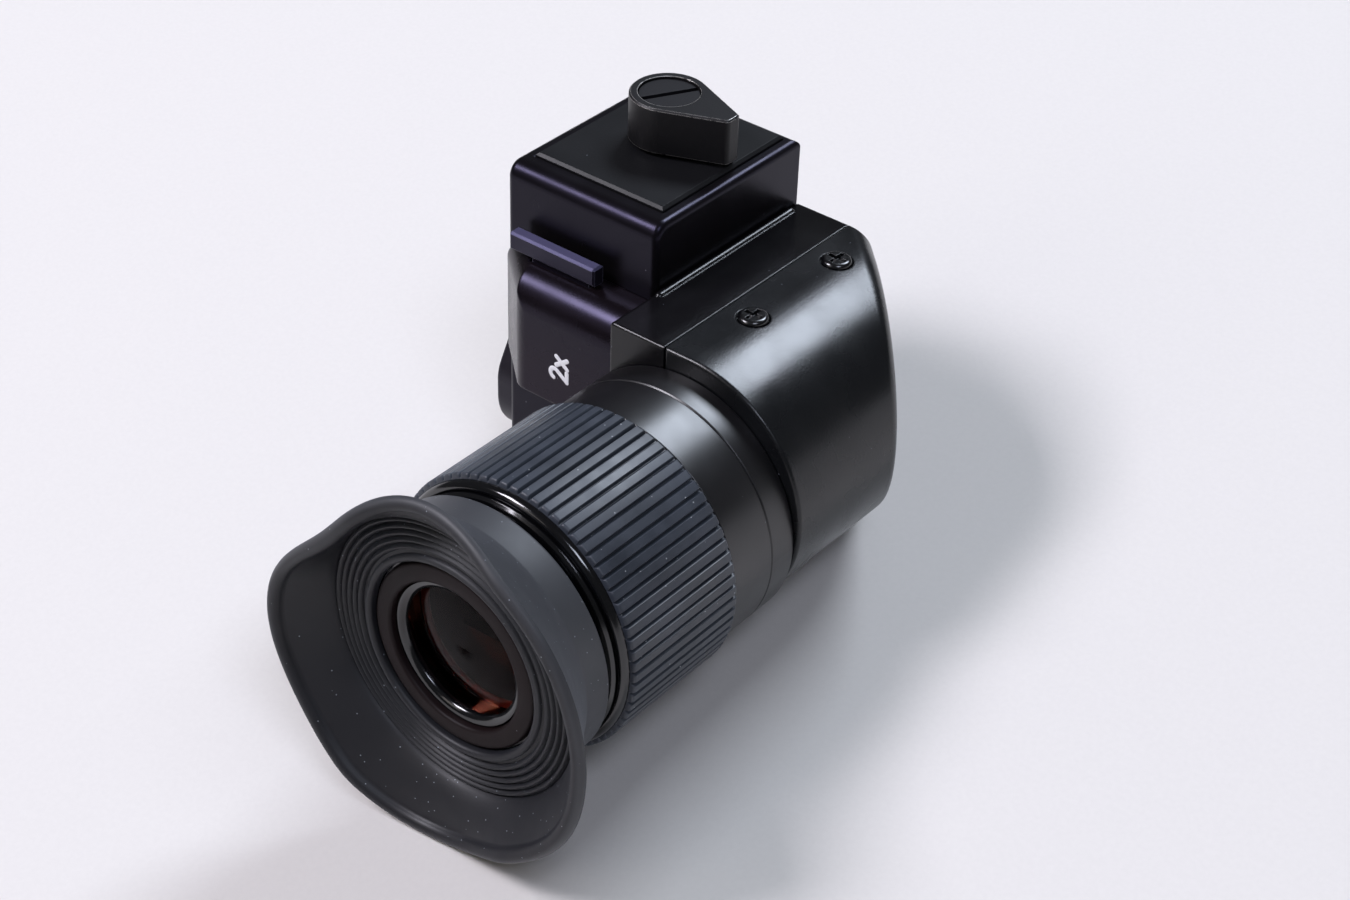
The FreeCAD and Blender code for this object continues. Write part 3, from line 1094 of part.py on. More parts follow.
def inner_lens():
    """Rear lens of the eyepiece."""
    y = lens_stack()[0]
    return lens((EYE_X, y, 0), (0, 1, 0), EYE_BORE_R - RUN, INNER_LENS_T, 0.0, -0.05)


def lens_spacer():
    """Blackened tube between the eyepiece lenses."""
    inner, spacer, _ = lens_stack()
    return collar(EYE_BORE_R - RUN, EYE_STOP_R, spacer, inner)


def eye_lens():
    """Front lens of the eyepiece, bulging towards the eye."""
    y = lens_stack()[2]
    return lens((EYE_X, y, 0), (0, 1, 0), EYE_BORE_R - RUN, EYE_LENS_T, EYE_LENS_BULGE, -0.05)


def lens_keeper():
    """Smooth threaded ring in front of the eye lens."""
    y_seat = lens_stack()[2] - sag(EYE_BORE_R - RUN, EYE_LENS_BULGE, KEEPER_BORE_R)
    profile = [(KEEPER_BORE_R + 0.5, EYE_FRONT), (KEEPER_R, EYE_FRONT), (KEEPER_R, EYE_FRONT + KEEPER_T - PRESS),
               (EYE_BORE_R - RUN, EYE_FRONT + KEEPER_T - PRESS), (EYE_BORE_R - RUN, y_seat - PRESS),
               (KEEPER_BORE_R, y_seat - PRESS), (KEEPER_BORE_R, EYE_FRONT + 0.5)]
    return turned(profile)


# ================================================================ eyecup
def cup_outline(half_x, half_z, exponent, y):
    """Closed outline |x/a|^n + |z/b|^n = 1 at a height y, with its four corners softened."""
    points = []
    count = 40
    level = ((1 + CUP_SOFT ** 2) ** (exponent / 2) + CUP_SOFT ** exponent) ** (1 / exponent)
    for step in range(count):
        angle = 2 * math.pi * step / count
        c, s = math.cos(angle), math.sin(angle)
        across = (math.sqrt(c * c + CUP_SOFT ** 2) / half_x) ** exponent
        upright = (math.sqrt(s * s + CUP_SOFT ** 2) / half_z) ** exponent
        radius = level * (across + upright) ** (-1 / exponent)
        points.append(V(EYE_X + radius * c, y, radius * s))
    curve = Part.BSplineCurve()
    curve.interpolate(points, PeriodicFlag=True)
    return Part.Wire(curve.toShape())


def cup_sections(inset, y_start, radius_start, extra):
    """Outlines that flare from a circle at y_start to the shape of the rim, and on past it by extra."""
    rim_y = SHOULDER - CUP_LENGTH
    wires = []
    for share in (0.0, 0.25, 0.5, 0.75, 1.0):
        flare = share ** 1.25
        y = y_start + (rim_y - y_start) * share
        half_x = radius_start + (CUP_HORN - inset - radius_start) * flare
        half_z = radius_start + (CUP_BROW - inset - radius_start) * flare
        exponent = 2 + (CUP_CORNER - 2) * flare
        wires.append(cup_outline(half_x, half_z, exponent, y))
    if extra:
        wires.append(cup_outline(CUP_HORN - inset + extra / 2, CUP_BROW - inset + extra / 2, CUP_CORNER, rim_y - extra))
    return wires


def rim_cutter():
    """Everything in front of the wavy rim."""
    rim_y = SHOULDER - CUP_LENGTH
    span = CUP_HORN * 1.3
    grid = []
    for i in range(9):
        row = []
        for j in range(9):
            u, v = (i - 4) / 4, (j - 4) / 4
            x, z = u * span, v * span
            r2 = max(x * x + z * z, (CUP_HORN * 0.6) ** 2)
            lean = (x * x - z * z) / r2
            wave = 1 - 8 * (x * z) ** 2 / r2 ** 2
            row.append(V(EYE_X + x, rim_y - RIM_TILT * lean + RIM_WAVE * wave, z))
        grid.append(row)
    surface = Part.BSplineSurface()
    surface.interpolate(grid)
    return surface.toShape().extrude(V(0, -CUP_LENGTH, 0))


def eyecup():
    """Flared rubber cup with a snap bead and concentric grooves round the lens."""
    seat_r = CUP_SEAT_R + RUN
    back_y = SHOULDER - LIFT
    floor_y = SHOULDER - CUP_FLOOR
    root_y = SHOULDER - CUP_STRAIGHT
    straight = [cup_outline(CUP_SLEEVE_R, CUP_SLEEVE_R, 2, y) for y in (back_y, (back_y + root_y) / 2)]
    flare = Part.makeLoft(straight + cup_sections(0, root_y, CUP_SLEEVE_R, 0), True)
    hollow = Part.makeLoft(cup_sections(CUP_WALL, floor_y, CUP_FLOOR_R, 1.0), True)
    tube_end = EYE_FRONT + KEEPER_PROUD
    seat = turned([(0, SHOULDER + 1), (seat_r, SHOULDER + 1), (seat_r, BEAD_Y + BEAD_W / 2 - EASY),
                   (seat_r - BEAD_D + EASY, BEAD_Y + BEAD_W / 2 - EASY),
                   (seat_r - BEAD_D + EASY, BEAD_Y - BEAD_W / 2 + EASY), (seat_r, BEAD_Y - BEAD_W / 2 + EASY),
                   (seat_r, tube_end - 0.15), (KEEPER_R + 0.25, tube_end - 0.15), (KEEPER_R + 0.25, floor_y - 4),
                   (0, floor_y - 4)])
    cup = cut(flare, hollow, seat)
    for index in range(CUP_GROOVES):
        r = CUP_FLOOR_R - 0.5 - index * CUP_GROOVE_STEP
        half = CUP_GROOVE_W / 2
        cup = cup.cut(turned([(r, floor_y + CUP_GROOVE_D), (r + half, floor_y - 0.4), (r - half, floor_y - 0.4)]))
    return cup


# ================================================================ output
NODES = {
    "coupling_frame": coupling_frame, "entrance_window": entrance_window, "dog_screws": dog_screws,
    "changer_housing": changer_housing, "top_plate": top_plate, "bottom_plate": bottom_plate,
    "bottom_screws": bottom_screws, "front_hood": front_hood, "hood_screws": hood_screws,
    "release_slide": release_slide, "release_spring": release_spring,
    "changer_drum": changer_drum, "drum_spindle": drum_spindle, "tele_front_lens": tele_front_lens,
    "tele_rear_lens": tele_rear_lens, "detent_disc": detent_disc, "detent_ball": detent_ball,
    "detent_spring": detent_spring, "detent_plug": detent_plug, "lever_washer": lever_washer,
    "mode_lever": mode_lever, "lever_cap_screw": lever_cap_screw,
    "prism_housing": prism_housing, "joint_screws": joint_screws, "prism_cover": prism_cover,
    "cover_screws": cover_screws, "objective_cell": objective_cell, "objective_lens": objective_lens,
    "objective_retainer": objective_retainer, "roof_prism": roof_prism, "prism_table": prism_table,
    "table_screws": table_screws, "prism_clip": prism_clip, "clip_screw": clip_screw,
    "barrel_seat": barrel_seat, "barrel_nut": barrel_nut, "barrel_tube": barrel_tube,
    "ring_keeper": ring_keeper, "dioptre_ring": dioptre_ring, "drive_pin": drive_pin,
    "eyepiece_tube": eyepiece_tube, "inner_lens": inner_lens, "lens_spacer": lens_spacer,
    "eye_lens": eye_lens, "lens_keeper": lens_keeper, "eyecup": eyecup,
}

os.makedirs("parts", exist_ok=True)
for name, make in NODES.items():
    shape = make()
    shape.exportStep(f"parts/{name}.step")
    print(f"{name}: {len(shape.Solids)} solid(s), {shape.Volume:.1f} mm3, valid {shape.isValid()}")
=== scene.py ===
"""Looks for a right-angle viewfinder attachment: enamelled castings, anodised trim, a ribbed ring and a rubber cup.

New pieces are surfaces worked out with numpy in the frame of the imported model, where y runs along the eyepiece,
away from the eye. Their formulas are in millimetres and are scaled once, by MM, when the mesh is made.
"""
import json
import math

import bpy
import numpy as np
from mathutils import Matrix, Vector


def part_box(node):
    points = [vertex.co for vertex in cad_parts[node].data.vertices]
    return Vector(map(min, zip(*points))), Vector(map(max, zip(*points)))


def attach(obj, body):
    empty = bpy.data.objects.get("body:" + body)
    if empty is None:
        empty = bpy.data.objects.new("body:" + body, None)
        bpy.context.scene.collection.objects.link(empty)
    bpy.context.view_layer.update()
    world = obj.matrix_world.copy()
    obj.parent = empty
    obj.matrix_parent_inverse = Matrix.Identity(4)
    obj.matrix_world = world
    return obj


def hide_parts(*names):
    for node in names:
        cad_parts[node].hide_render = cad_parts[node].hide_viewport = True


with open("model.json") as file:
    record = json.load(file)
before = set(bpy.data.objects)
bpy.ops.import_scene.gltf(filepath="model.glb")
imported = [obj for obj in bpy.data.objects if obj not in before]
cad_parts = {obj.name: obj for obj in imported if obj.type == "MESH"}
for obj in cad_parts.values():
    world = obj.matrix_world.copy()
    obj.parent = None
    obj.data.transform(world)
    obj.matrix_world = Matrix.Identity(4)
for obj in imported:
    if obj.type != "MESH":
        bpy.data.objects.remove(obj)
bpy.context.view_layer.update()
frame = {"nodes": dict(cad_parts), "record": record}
MM = 0.001
nodes = frame["nodes"]


def span(name, axis):
    """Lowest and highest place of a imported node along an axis, in millimetres."""
    low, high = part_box(name)
    return low[axis] / MM, high[axis] / MM


def half_width(name, axis=0):
    """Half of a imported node's size along an axis, in millimetres: the radius of a turned part."""
    low, high = span(name, axis)
    return (high - low) / 2


EYE_X = sum(span("dioptre_ring", 0)) / 2
RING_R = half_width("dioptre_ring")
RING_FRONT, RING_REAR = span("dioptre_ring", 1)
KEEPER_R = half_width("lens_keeper")
KEEPER_FACE, KEEPER_REAR = span("lens_keeper", 1)
CUP_RIM, CUP_BACK = span("eyecup", 1)
CUP_SHRUNK = 0.8                # the worn rim is this much smaller in radius than a new one
CUP_MEAN = (half_width("eyecup", 0) + half_width("eyecup", 2)) / 2 - CUP_SHRUNK
SKIRT_BORE = RING_R - 1.45      # opening in the ring's front, where the polished skirt comes out
HOOD_FRONT = span("front_hood", 1)[0]
TURN_STEPS = 192                # points round a turned piece


# ------------------------------------------------------------------ colours and nodes
def srgb(text):
    """Linear RGBA of an sRGB hex colour: each channel goes through the standard sRGB curve."""
    channels = [int(text[i:i + 2], 16) / 255 for i in (1, 3, 5)]
    return tuple(c / 12.92 if c <= 0.04045 else ((c + 0.055) / 1.055) ** 2.4 for c in channels) + (1.0,)


def node(tree, kind, inputs=None, **settings):
    """Add a node with its settings; each input is a plain value or the output that feeds it."""
    made = tree.nodes.new("ShaderNode" + kind)
    for name, value in settings.items():
        setattr(made, name, value)
    for name, value in (inputs or {}).items():
        socket = made.inputs[name]
        if isinstance(value, bpy.types.NodeSocket):
            tree.links.new(value, socket)
        else:
            socket.default_value = value
    return made


def material(name):
    """A new, empty node material; gives it, its tree and its object coordinates."""
    made = bpy.data.materials.new(name)
    made.use_nodes = True
    made.node_tree.nodes.clear()
    return made, made.node_tree, node(made.node_tree, "TexCoord").outputs["Object"]


def surface(tree, **inputs):
    """Surface shader of a material, with an underscore for each space in an input's name."""
    shader = node(tree, "BsdfPrincipled", {name.replace("_", " "): value for name, value in inputs.items()})
    node(tree, "OutputMaterial", {"Surface": shader.outputs[0]})


# ------------------------------------------------------------------ surfaces from formulas
def skin(name, grid, crease, poles=False):
    """Mesh of a grid of points in millimetres, rows x columns. Columns always close. Rows close too, or end in two
    poles, each the mean of its row. Edges sharper than the crease, in degrees, stay sharp.

    Each cell of four neighbours is one face. The sign of the volume, the sum of p0 . (p1 x p2) over the faces,
    tells which way the faces turn, so they are turned outwards by it.
    """
    rows, columns = grid.shape[:2]
    points = grid.reshape(-1, 3) * MM
    index = np.arange(rows * columns).reshape(rows, columns)
    lower = index[:-1] if poles else index
    upper = index[1:] if poles else np.roll(index, -1, 0)
    quads = np.stack([lower, np.roll(lower, -1, 1), np.roll(upper, -1, 1), upper], 2).reshape(-1, 4)
    ends = ((index[0], True), (index[-1], False)) if poles else ()
    fans = []
    for row, first in ends:
        points = np.vstack([points, points[row].mean(0)])
        centre, following = np.full(columns, len(points) - 1), np.roll(row, -1)
        fans.append(np.stack([centre, following, row] if first else [centre, row, following], 1))
    a, b, c, d = (points[quads[:, corner]] for corner in range(4))
    volume = (a * np.cross(b, c)).sum() + (a * np.cross(c, d)).sum()
    for fan in fans:
        volume += (points[fan[:, 0]] * np.cross(points[fan[:, 1]], points[fan[:, 2]])).sum()
    if volume < 0:
        quads = quads[:, ::-1]
        fans = [fan[:, ::-1] for fan in fans]
    mesh = bpy.data.meshes.new(name)
    mesh.from_pydata(points.tolist(), [], quads.tolist() + [face for fan in fans for face in fan.tolist()])
    mesh.shade_smooth()
    mesh.set_sharp_from_angle(angle=math.radians(crease))
    piece = bpy.data.objects.new(name, mesh)
    bpy.context.scene.collection.objects.link(piece)
    return piece


def about_eye(radius, y, angle):
    """Points at a radius and angle about the eyepiece axis, in millimetres; the three arrays broadcast."""
    radius, y, angle = np.broadcast_arrays(radius, y, angle)
    return np.stack([EYE_X + radius * np.cos(angle), y, radius * np.sin(angle)], -1)


# ------------------------------------------------------------------ pieces
def rubber_cup():
    """Flared cup with a rolled lip, a soft uneven rim and ridges on its floor.

    The rim is wider where the rubber has relaxed: rim(t) = R0 + the sum of a cos(n t + phase) over its waves. A row
    of the grid has the radius base + part rim(t), so part grows from 0, a circle at the sleeve, to 1 at the rim.
    Towards the eye's sides the rim dips by max(0, d(t)), d(t) = 0.8 cos 4t - 0.9 cos 2t, softened at zero. The floor
    has five fine rounded ridges of one pitch beside the wall, a flat step, one broad ridge before the lens, and then
    the seat of the eyepiece tube.
    """
    waves = ((1.35, 1, 77), (1.2, 2, -105), (0.3, 3, 116), (0.5, 4, 9), (-0.38, 5, 0))  # a, n, phase in degrees
    sleeve, floor_r, seat_r, seat_bore = KEEPER_R + 4.15, KEEPER_R + 5.4, KEEPER_R + 2.25, KEEPER_R + 0.25
    wall, lip, edge = 1.6, 0.85, 0.4
    back, flare_start = CUP_BACK - 0.8, CUP_BACK - 4.1
    floor_y, seat_y, rim = KEEPER_FACE - 0.3, KEEPER_FACE + 0.65, CUP_RIM + lip + 0.95
    pitch, ridges, ridge_height, ridge_steps = 0.74, 5, 0.42, 12
    step, broad_height = 0.35, 0.45

    def rows(y, base, part, dips):
        """Rows of the grid: place on the axis, radius of the circle, share of the rim's shape, share of its dip."""
        return np.stack(np.broadcast_arrays(*(np.asarray(v, float) for v in (y, base, part, dips))), -1)

    turn = np.linspace(0, np.pi / 2, 5)
    corner = rows(back - edge + edge * np.cos(turn), sleeve - edge + edge * np.sin(turn), 0, 0)
    share = np.linspace(0, 1, 26)
    spread = share ** 1.2
    outside = rows(flare_start + (rim - flare_start) * share, sleeve * (1 - spread), spread, share ** 2)
    roll = np.linspace(0, np.pi, 15)[1:-1]
    rolled = rows(rim - lip * np.sin(roll), -lip * (1 - np.cos(roll)), 1, 1)
    share = share[::-1]
    spread = share ** 1.15
    inside = rows(floor_y + (rim - floor_y) * share, floor_r * (1 - spread) - wall * spread, spread, share ** 2)
    first = floor_r - 0.2
    last = first - ridges * pitch
    radius = np.linspace(first, last, ridge_steps * ridges + 1)
    fine = rows(floor_y + ridge_height * (1 - np.abs(np.sin(np.pi * (first - radius) / pitch))), radius, 0, 0)
    bow = np.linspace(0, np.pi, 9)
    middle, reach = (last - step + seat_bore) / 2, (last - step - seat_bore) / 2
    broad = rows(floor_y + step - broad_height * np.sin(bow), middle + reach * np.cos(bow), 0, 0)
    seat = rows((seat_y, seat_y, back), (seat_bore, seat_r, seat_r), 0, 0)
    level = np.concatenate([corner, outside, rolled, inside[1:], fine, broad, seat])[:, None, :]
    y, base, part, dips = np.moveaxis(level, -1, 0)

    angle = np.linspace(0, 2 * np.pi, 288, endpoint=False)
    rim_r = CUP_MEAN + sum(size * np.cos(count * angle + math.radians(phase)) for size, count, phase in waves)
    dip = 0.8 * np.cos(4 * angle) - 0.9 * np.cos(2 * angle)
    dip = (dip + np.sqrt(dip ** 2 + 0.3 ** 2)) / 2
    cup = skin("rubber_cup", about_eye(base + part * rim_r, y + dips * dip, angle), crease=50)
    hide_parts("eyecup")
    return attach(cup, "cup")


def turned(name, profile, body, crease=40):
    """A turned piece: a closed profile of (radius, y) corners carried once round the eyepiece axis."""
    profile = np.array(profile, float)
    angle = np.linspace(0, 2 * np.pi, TURN_STEPS, endpoint=False)
    piece = skin(name, about_eye(profile[:, :1], profile[:, 1:], angle), crease)
    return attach(piece, body)


def lens_ring():
    """Threaded ring that holds the eye lens: a broad, almost flat front between two rounds, each a quarter of a
    circle, (c + h cos t, d - h sin t). Behind its rim it steps in to the thread."""
    bore, thread_r, rim_y = KEEPER_R - 2.15, KEEPER_R - 0.95, KEEPER_FACE + 1.49
    outer_round, inner_round, slope = 0.45, 0.4, 0.1
    turn = np.linspace(0, np.pi / 2, 5)
    over = np.stack([KEEPER_R - outer_round + outer_round * np.cos(turn),
                     KEEPER_FACE + slope + outer_round - outer_round * np.sin(turn)], 1)
    into = np.stack([bore + inner_round - inner_round * np.sin(turn),
                     KEEPER_FACE + inner_round - inner_round * np.cos(turn)], 1)
    behind = [(bore, KEEPER_REAR), (thread_r, KEEPER_REAR), (thread_r, rim_y), (KEEPER_R, rim_y)]
    ring = turned("lens_ring", np.concatenate([over, into, behind]), "eyepiece")
    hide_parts("lens_keeper")
    return ring


def lens_bead():
    """Polished bevel round the eye lens, a step inside the ring's bore: a quarter of an ellipse, 0.95 by 0.7 mm."""
    outer, wide, deep = KEEPER_R - 2.35, 0.95, 0.7
    front = KEEPER_FACE + 0.72
    under, flange = outer + 0.2, 0.3
    turn = np.linspace(0, np.pi / 2, 9)
    bevel = np.stack([outer - wide * np.sin(turn), front + deep * (1 - np.cos(turn))], 1)
    back = front + deep + 0.02
    return turned("lens_bead", np.concatenate([bevel, [(under, back), (under, back - flange)]]),
                  "eyepiece", crease=60)


def field_stop():
    """Thin diaphragm behind the eye lens, whose opening has a broad ground lip: half an ellipse, 0.55 mm wide and
    0.35 mm to each side."""
    y, outer = span("lens_spacer", 1)[0] + 0.65, half_width("lens_spacer") - 0.5
    opening, wide, half = KEEPER_R - 2.55, 0.55, 0.35
    turn = np.linspace(-np.pi / 2, np.pi / 2, 9)
    lip = np.stack([opening + wide - wide * np.cos(turn), y + half * np.sin(turn)], 1)
    return turned("field_stop", np.concatenate([lip, [(outer, y + half), (outer, y - half)]]),
                  "eyepiece")


def polished_collar():
    """Smooth nose of the ribbed ring before its ribs: a quarter of an ellipse, 0.88 mm deep, that shines like the
    skirt."""
    root, land, deep, bore_deep, tuck = RING_R - 0.58, 0.12, 0.88, 0.8, 0.4
    turn = np.linspace(0, np.pi / 2, 9)
    start = SKIRT_BORE + land
    nose = np.stack([start + (root - start) * np.cos(turn), RING_FRONT - deep * np.sin(turn)], 1)
    behind = [(SKIRT_BORE, RING_FRONT - bore_deep), (SKIRT_BORE, RING_FRONT + tuck), (root - 0.3, RING_FRONT + tuck)]
    return turned("polished_collar", np.concatenate([nose, behind]), "ring")


def polished_skirt():
    """Bright band of the eyepiece between the ring and the cup: it swells to a small bead before the rubber. The
    table holds each corner's height over the tube and its distance from the band's front."""
    tube_r, front, skin_deep, long = RING_R - 2.79, CUP_BACK - 0.75, -0.3, 3.1
    corners = [(skin_deep, 0), (0.35, 0), (0.58, 0.1), (0.66, 0.35), (0.62, 0.7), (0.5, 1.05), (0.3, 1.35),
               (0.1, 1.5), (0.02, 1.7), (0.02, long), (skin_deep, long)]
    return turned("polished_skirt", np.array(corners) + (tube_r, front), "eyepiece")


def ribbed_ring():
    """Ring with 72 straight ribs: radius(t, y) = root(y) + 0.5 rib(t) end(y).

    rib(t) is a flat top over six tenths of the pitch with rounded shoulders, and end(y) lets each rib run out in a
    short round at both ends. The bore is stepped for the skirt and relieved where the drive pin travels.
    """
    ribs, height = 72, 0.5
    share = np.array([-0.5, -0.42, -0.395, -0.36, -0.31, -0.1, 0.1, 0.31, 0.36, 0.395])
    rise = np.array([0.0, 0.0, 0.42, 0.84, 1.0, 1.0, 1.0, 1.0, 0.84, 0.42])
    angle = ((np.arange(ribs)[:, None] + share) * 2 * np.pi / ribs).ravel()
    rib = np.tile(rise, ribs)
    root, bore = RING_R - height, RING_R - 2.55
    relieved, relief_rear, relief_front = bore + 1.35, RING_REAR - 3.9, RING_REAR - 9.3
    front, rear, skirt_step = RING_FRONT, RING_REAR, RING_FRONT + 3.7
    rows = np.array([  # y, root(y), end(y)
        (front, SKIRT_BORE, 0), (front, root - 0.2, 0), (front + 0.02, root - 0.05, 0.1), (front + 0.06, root, 0.55),
        (front + 0.13, root, 0.82), (front + 0.24, root, 0.95), (front + 0.4, root, 1), (rear - 0.5, root, 1),
        (rear - 0.32, root, 0.9), (rear - 0.2, root, 0.62), (rear - 0.12, root, 0.25), (rear - 0.06, root - 0.05, 0),
        (rear, root - 0.3, 0), (rear, bore, 0), (relief_rear, bore, 0), (relief_rear, relieved, 0),
        (relief_front, relieved, 0), (relief_front, bore, 0), (skirt_step, bore, 0), (skirt_step, SKIRT_BORE, 0)])
    radius = rows[:, 1:2] + height * rows[:, 2:3] * rib
    ring = skin("ribbed_ring", about_eye(radius, rows[:, 0:1], angle), crease=38)
    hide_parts("dioptre_ring")
    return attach(ring, "ring")


def magnification_mark():
    """White "2x" on the hood, read with the head to the left: it starts at height start_z, on a baseline at base_x.

    Each stroke is a round-ended ribbon, |v| <= w sqrt(1 - (u past an end / w)^2), domed by 0.04 mm. The 2 is three
    quarters of a circle, a slant and a foot; the x is two slants.
    """
    letter_height, drawn_height = 2.55, 1.9
    weight, dome = 0.29, 0.04
    base_x, start_z = 16.7, 4.7
    bow = np.linspace(math.radians(165), math.radians(-42), 14)
    hook = np.stack([0.5 + 0.44 * np.cos(bow), 1.42 + 0.42 * np.sin(bow)], 1)
    foot = np.array([(0.1, 0.12), (0.98, 0.12)])
    strokes = [np.concatenate([hook, foot[:1]]), foot, np.array([(1.35, 0.1), (2.2, 1.22)]),
               np.array([(1.38, 1.22), (2.18, 0.1)])]
    cap = np.sin(np.linspace(np.pi / 2, 0, 5, endpoint=False))
    narrow = np.sqrt(1 - cap ** 2) + 0.02
    turn = np.linspace(0, 2 * np.pi, 12, endpoint=False)
    pieces = []
    for count, stroke in enumerate(strokes):
        path = stroke * (letter_height / drawn_height)
        along = np.gradient(path, axis=0)
        along /= np.linalg.norm(along, axis=1, keepdims=True)
        start = path[0] - along[0] * weight * cap[:, None]
        end = path[-1] + along[-1] * weight * cap[::-1, None]
        line = np.concatenate([start, path, end])
        way = np.concatenate([np.repeat(along[:1], len(cap), 0), along, np.repeat(along[-1:], len(cap), 0)])
        half = (weight * np.concatenate([narrow, np.ones(len(path)), narrow[::-1]]))[:, None]
        across = np.stack([-way[:, 1], way[:, 0]], 1)
        flat = line[:, None] + across[:, None] * (half * np.cos(turn))[..., None]
        lift = dome * np.sin(turn) * np.minimum(1, half / weight)
        grid = np.stack([base_x - flat[..., 1], HOOD_FRONT - lift, start_z + flat[..., 0]], -1)
        piece = skin(f"mark_stroke_{count}", grid, crease=180, poles=True)
        pieces.append(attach(piece, "housing"))
    return pieces


# ------------------------------------------------------------------ patterns
def layered(tree, ground, *layers):
    """Colour of a surface: a ground colour, and over it layers in turn, each a mask and the colour it lays on."""
    colour = srgb(ground)
    for mask, laid in layers:
        colour = node(tree, "Mix", {0: mask, 6: colour, 7: srgb(laid)}, data_type="RGBA").outputs[2]
    return colour


def grain(tree, place, size_mm, depth_mm, normal=None, detail=2.0):
    """Normal with the bump of an even grain: noise with one lump every size_mm, depth_mm high."""
    lumps = node(tree, "TexNoise", {"Vector": place, "Scale": 1 / (size_mm * MM), "Detail": detail,
                                    "Roughness": 0.55})
    inputs = {"Height": lumps.outputs["Fac"], "Distance": depth_mm * MM}
    if normal:
        inputs["Normal"] = normal
    return node(tree, "Bump", inputs).outputs["Normal"]


def specks(tree, place, spacing_mm, size_mm):
    """Mask of fine dust: spots of size_mm about random points, spacing_mm apart on average."""
    cells = node(tree, "TexVoronoi", {"Vector": place, "Scale": 1 / (spacing_mm * MM)})
    return node(tree, "MapRange", {"Value": cells.outputs["Distance"], "From Min": 0.4 * size_mm / spacing_mm,
                                   "From Max": 0.6 * size_mm / spacing_mm, "To Min": 1.0, "To Max": 0.0}).outputs[0]


def cloudy(tree, place, size_mm, low, high):
    """A slow drift from low to high over patches of size_mm."""
    noise = node(tree, "TexNoise", {"Vector": place, "Scale": 1 / (size_mm * MM), "Detail": 3.0})
    return node(tree, "MapRange", {"Value": noise.outputs["Fac"], "From Min": 0.3, "From Max": 0.7, "To Min": low,
                                   "To Max": high}).outputs[0]


def worn_edges(tree, edge_mm, first, last):
    """Softened normal, and a mask of sharp edges: it rises from 0 to 1 as the cosine of the angle between that
    normal and the true one falls from first to last."""
    soft = node(tree, "Bevel", {"Radius": edge_mm * MM}, samples=8).outputs[0]
    true = node(tree, "NewGeometry").outputs["Normal"]
    alike = node(tree, "VectorMath", {0: soft, 1: true}, operation="DOT_PRODUCT").outputs["Value"]
    return soft, node(tree, "MapRange", {"Value": alike, "From Min": first, "From Max": last}).outputs[0]


# ------------------------------------------------------------------ finishes
def enamel(name, colour, gloss, roughness, edge_mm, grain_mm, depth_mm):
    """Stove enamel sprayed on a casting: a thin even skin with orange peel, softened edges and a little dust."""
    made, tree, place = material(name)
    rounded = node(tree, "Bevel", {"Radius": edge_mm * MM}, samples=6).outputs[0]
    dust = specks(tree, place, spacing_mm=2.6, size_mm=0.13)
    surface(tree, Specular_IOR_Level=gloss, IOR=1.5, Base_Color=layered(tree, colour, (dust, "#6d7078")),
            Roughness=cloudy(tree, place, size_mm=7.0, low=roughness - 0.04, high=roughness + 0.05),
            Normal=grain(tree, place, grain_mm, depth_mm, normal=rounded))
    return made


def anodised(name, colour, sheen, gloss, roughness, edge_mm, worn, foot=None, painted_top_light=None):
    """Dyed anodising over a fine bead blast: the dye tints the gloss and it fades on sharp edges. Low on the part,
    from
    12.5 mm above the light path down to 5 mm, it may take a second tone, a painted reflection of warm surroundings,
    or where the face looks up a lighter tone, a painted highlight."""
    made, tree, place = material(name)
    soft, edge = worn_edges(tree, edge_mm, first=0.97, last=0.82)
    dust = specks(tree, place, spacing_mm=2.4, size_mm=0.10)
    layers = []
    # painted reflection: the second tone low on the part stands in for warm surroundings reflected there
    if foot:
        height = node(tree, "SeparateXYZ", {"Vector": place}).outputs["Z"]
        low = node(tree, "MapRange", {"Value": height, "From Min": 12.5 * MM, "From Max": 5.0 * MM}).outputs[0]
        layers.append((low, foot))
    # painted highlight: faces that look up are made lighter, as if lit from above
    if painted_top_light:
        true = node(tree, "NewGeometry").outputs["Normal"]
        facing = node(tree, "SeparateXYZ", {"Vector": true}).outputs["Z"]
        up = node(tree, "MapRange", {"Value": facing, "From Min": 0.3, "From Max": 0.8}).outputs[0]
        layers.append((up, painted_top_light))
    surface(tree, Specular_IOR_Level=gloss, IOR=1.55, Specular_Tint=srgb(sheen),
            Base_Color=layered(tree, colour, *layers, (edge, worn), (dust, "#8a8690")),
            Roughness=cloudy(tree, place, size_mm=5.0, low=roughness - 0.03, high=roughness + 0.05),
            Normal=grain(tree, place, size_mm=0.16, depth_mm=0.004, normal=soft))
    return made


def worn_paint(name, colour, bare, roughness, edge_mm):
    """Matte paint on a lever: the fingers have worn its edges to thin broken lines of bare metal."""
    made, tree, place = material(name)
    soft, edge = worn_edges(tree, edge_mm, first=0.985, last=0.88)
    chips = node(tree, "TexNoise", {"Vector": place, "Scale": 1 / (0.7 * MM), "Detail": 5.0, "Roughness": 0.7})
    broken = node(tree, "MapRange", {"Value": chips.outputs["Fac"], "From Min": 0.38, "From Max": 0.50}).outputs[0]
    wear = node(tree, "Math", {0: edge, 1: broken}, operation="MULTIPLY").outputs[0]
    surface(tree, Specular_IOR_Level=0.35, Metallic=wear, Base_Color=layered(tree, colour, (wear, bare)),
            Roughness=node(tree, "MapRange", {"Value": wear, "To Min": roughness, "To Max": 0.35}).outputs[0],
            Normal=grain(tree, place, size_mm=0.22, depth_mm=0.012, normal=soft))
    return made


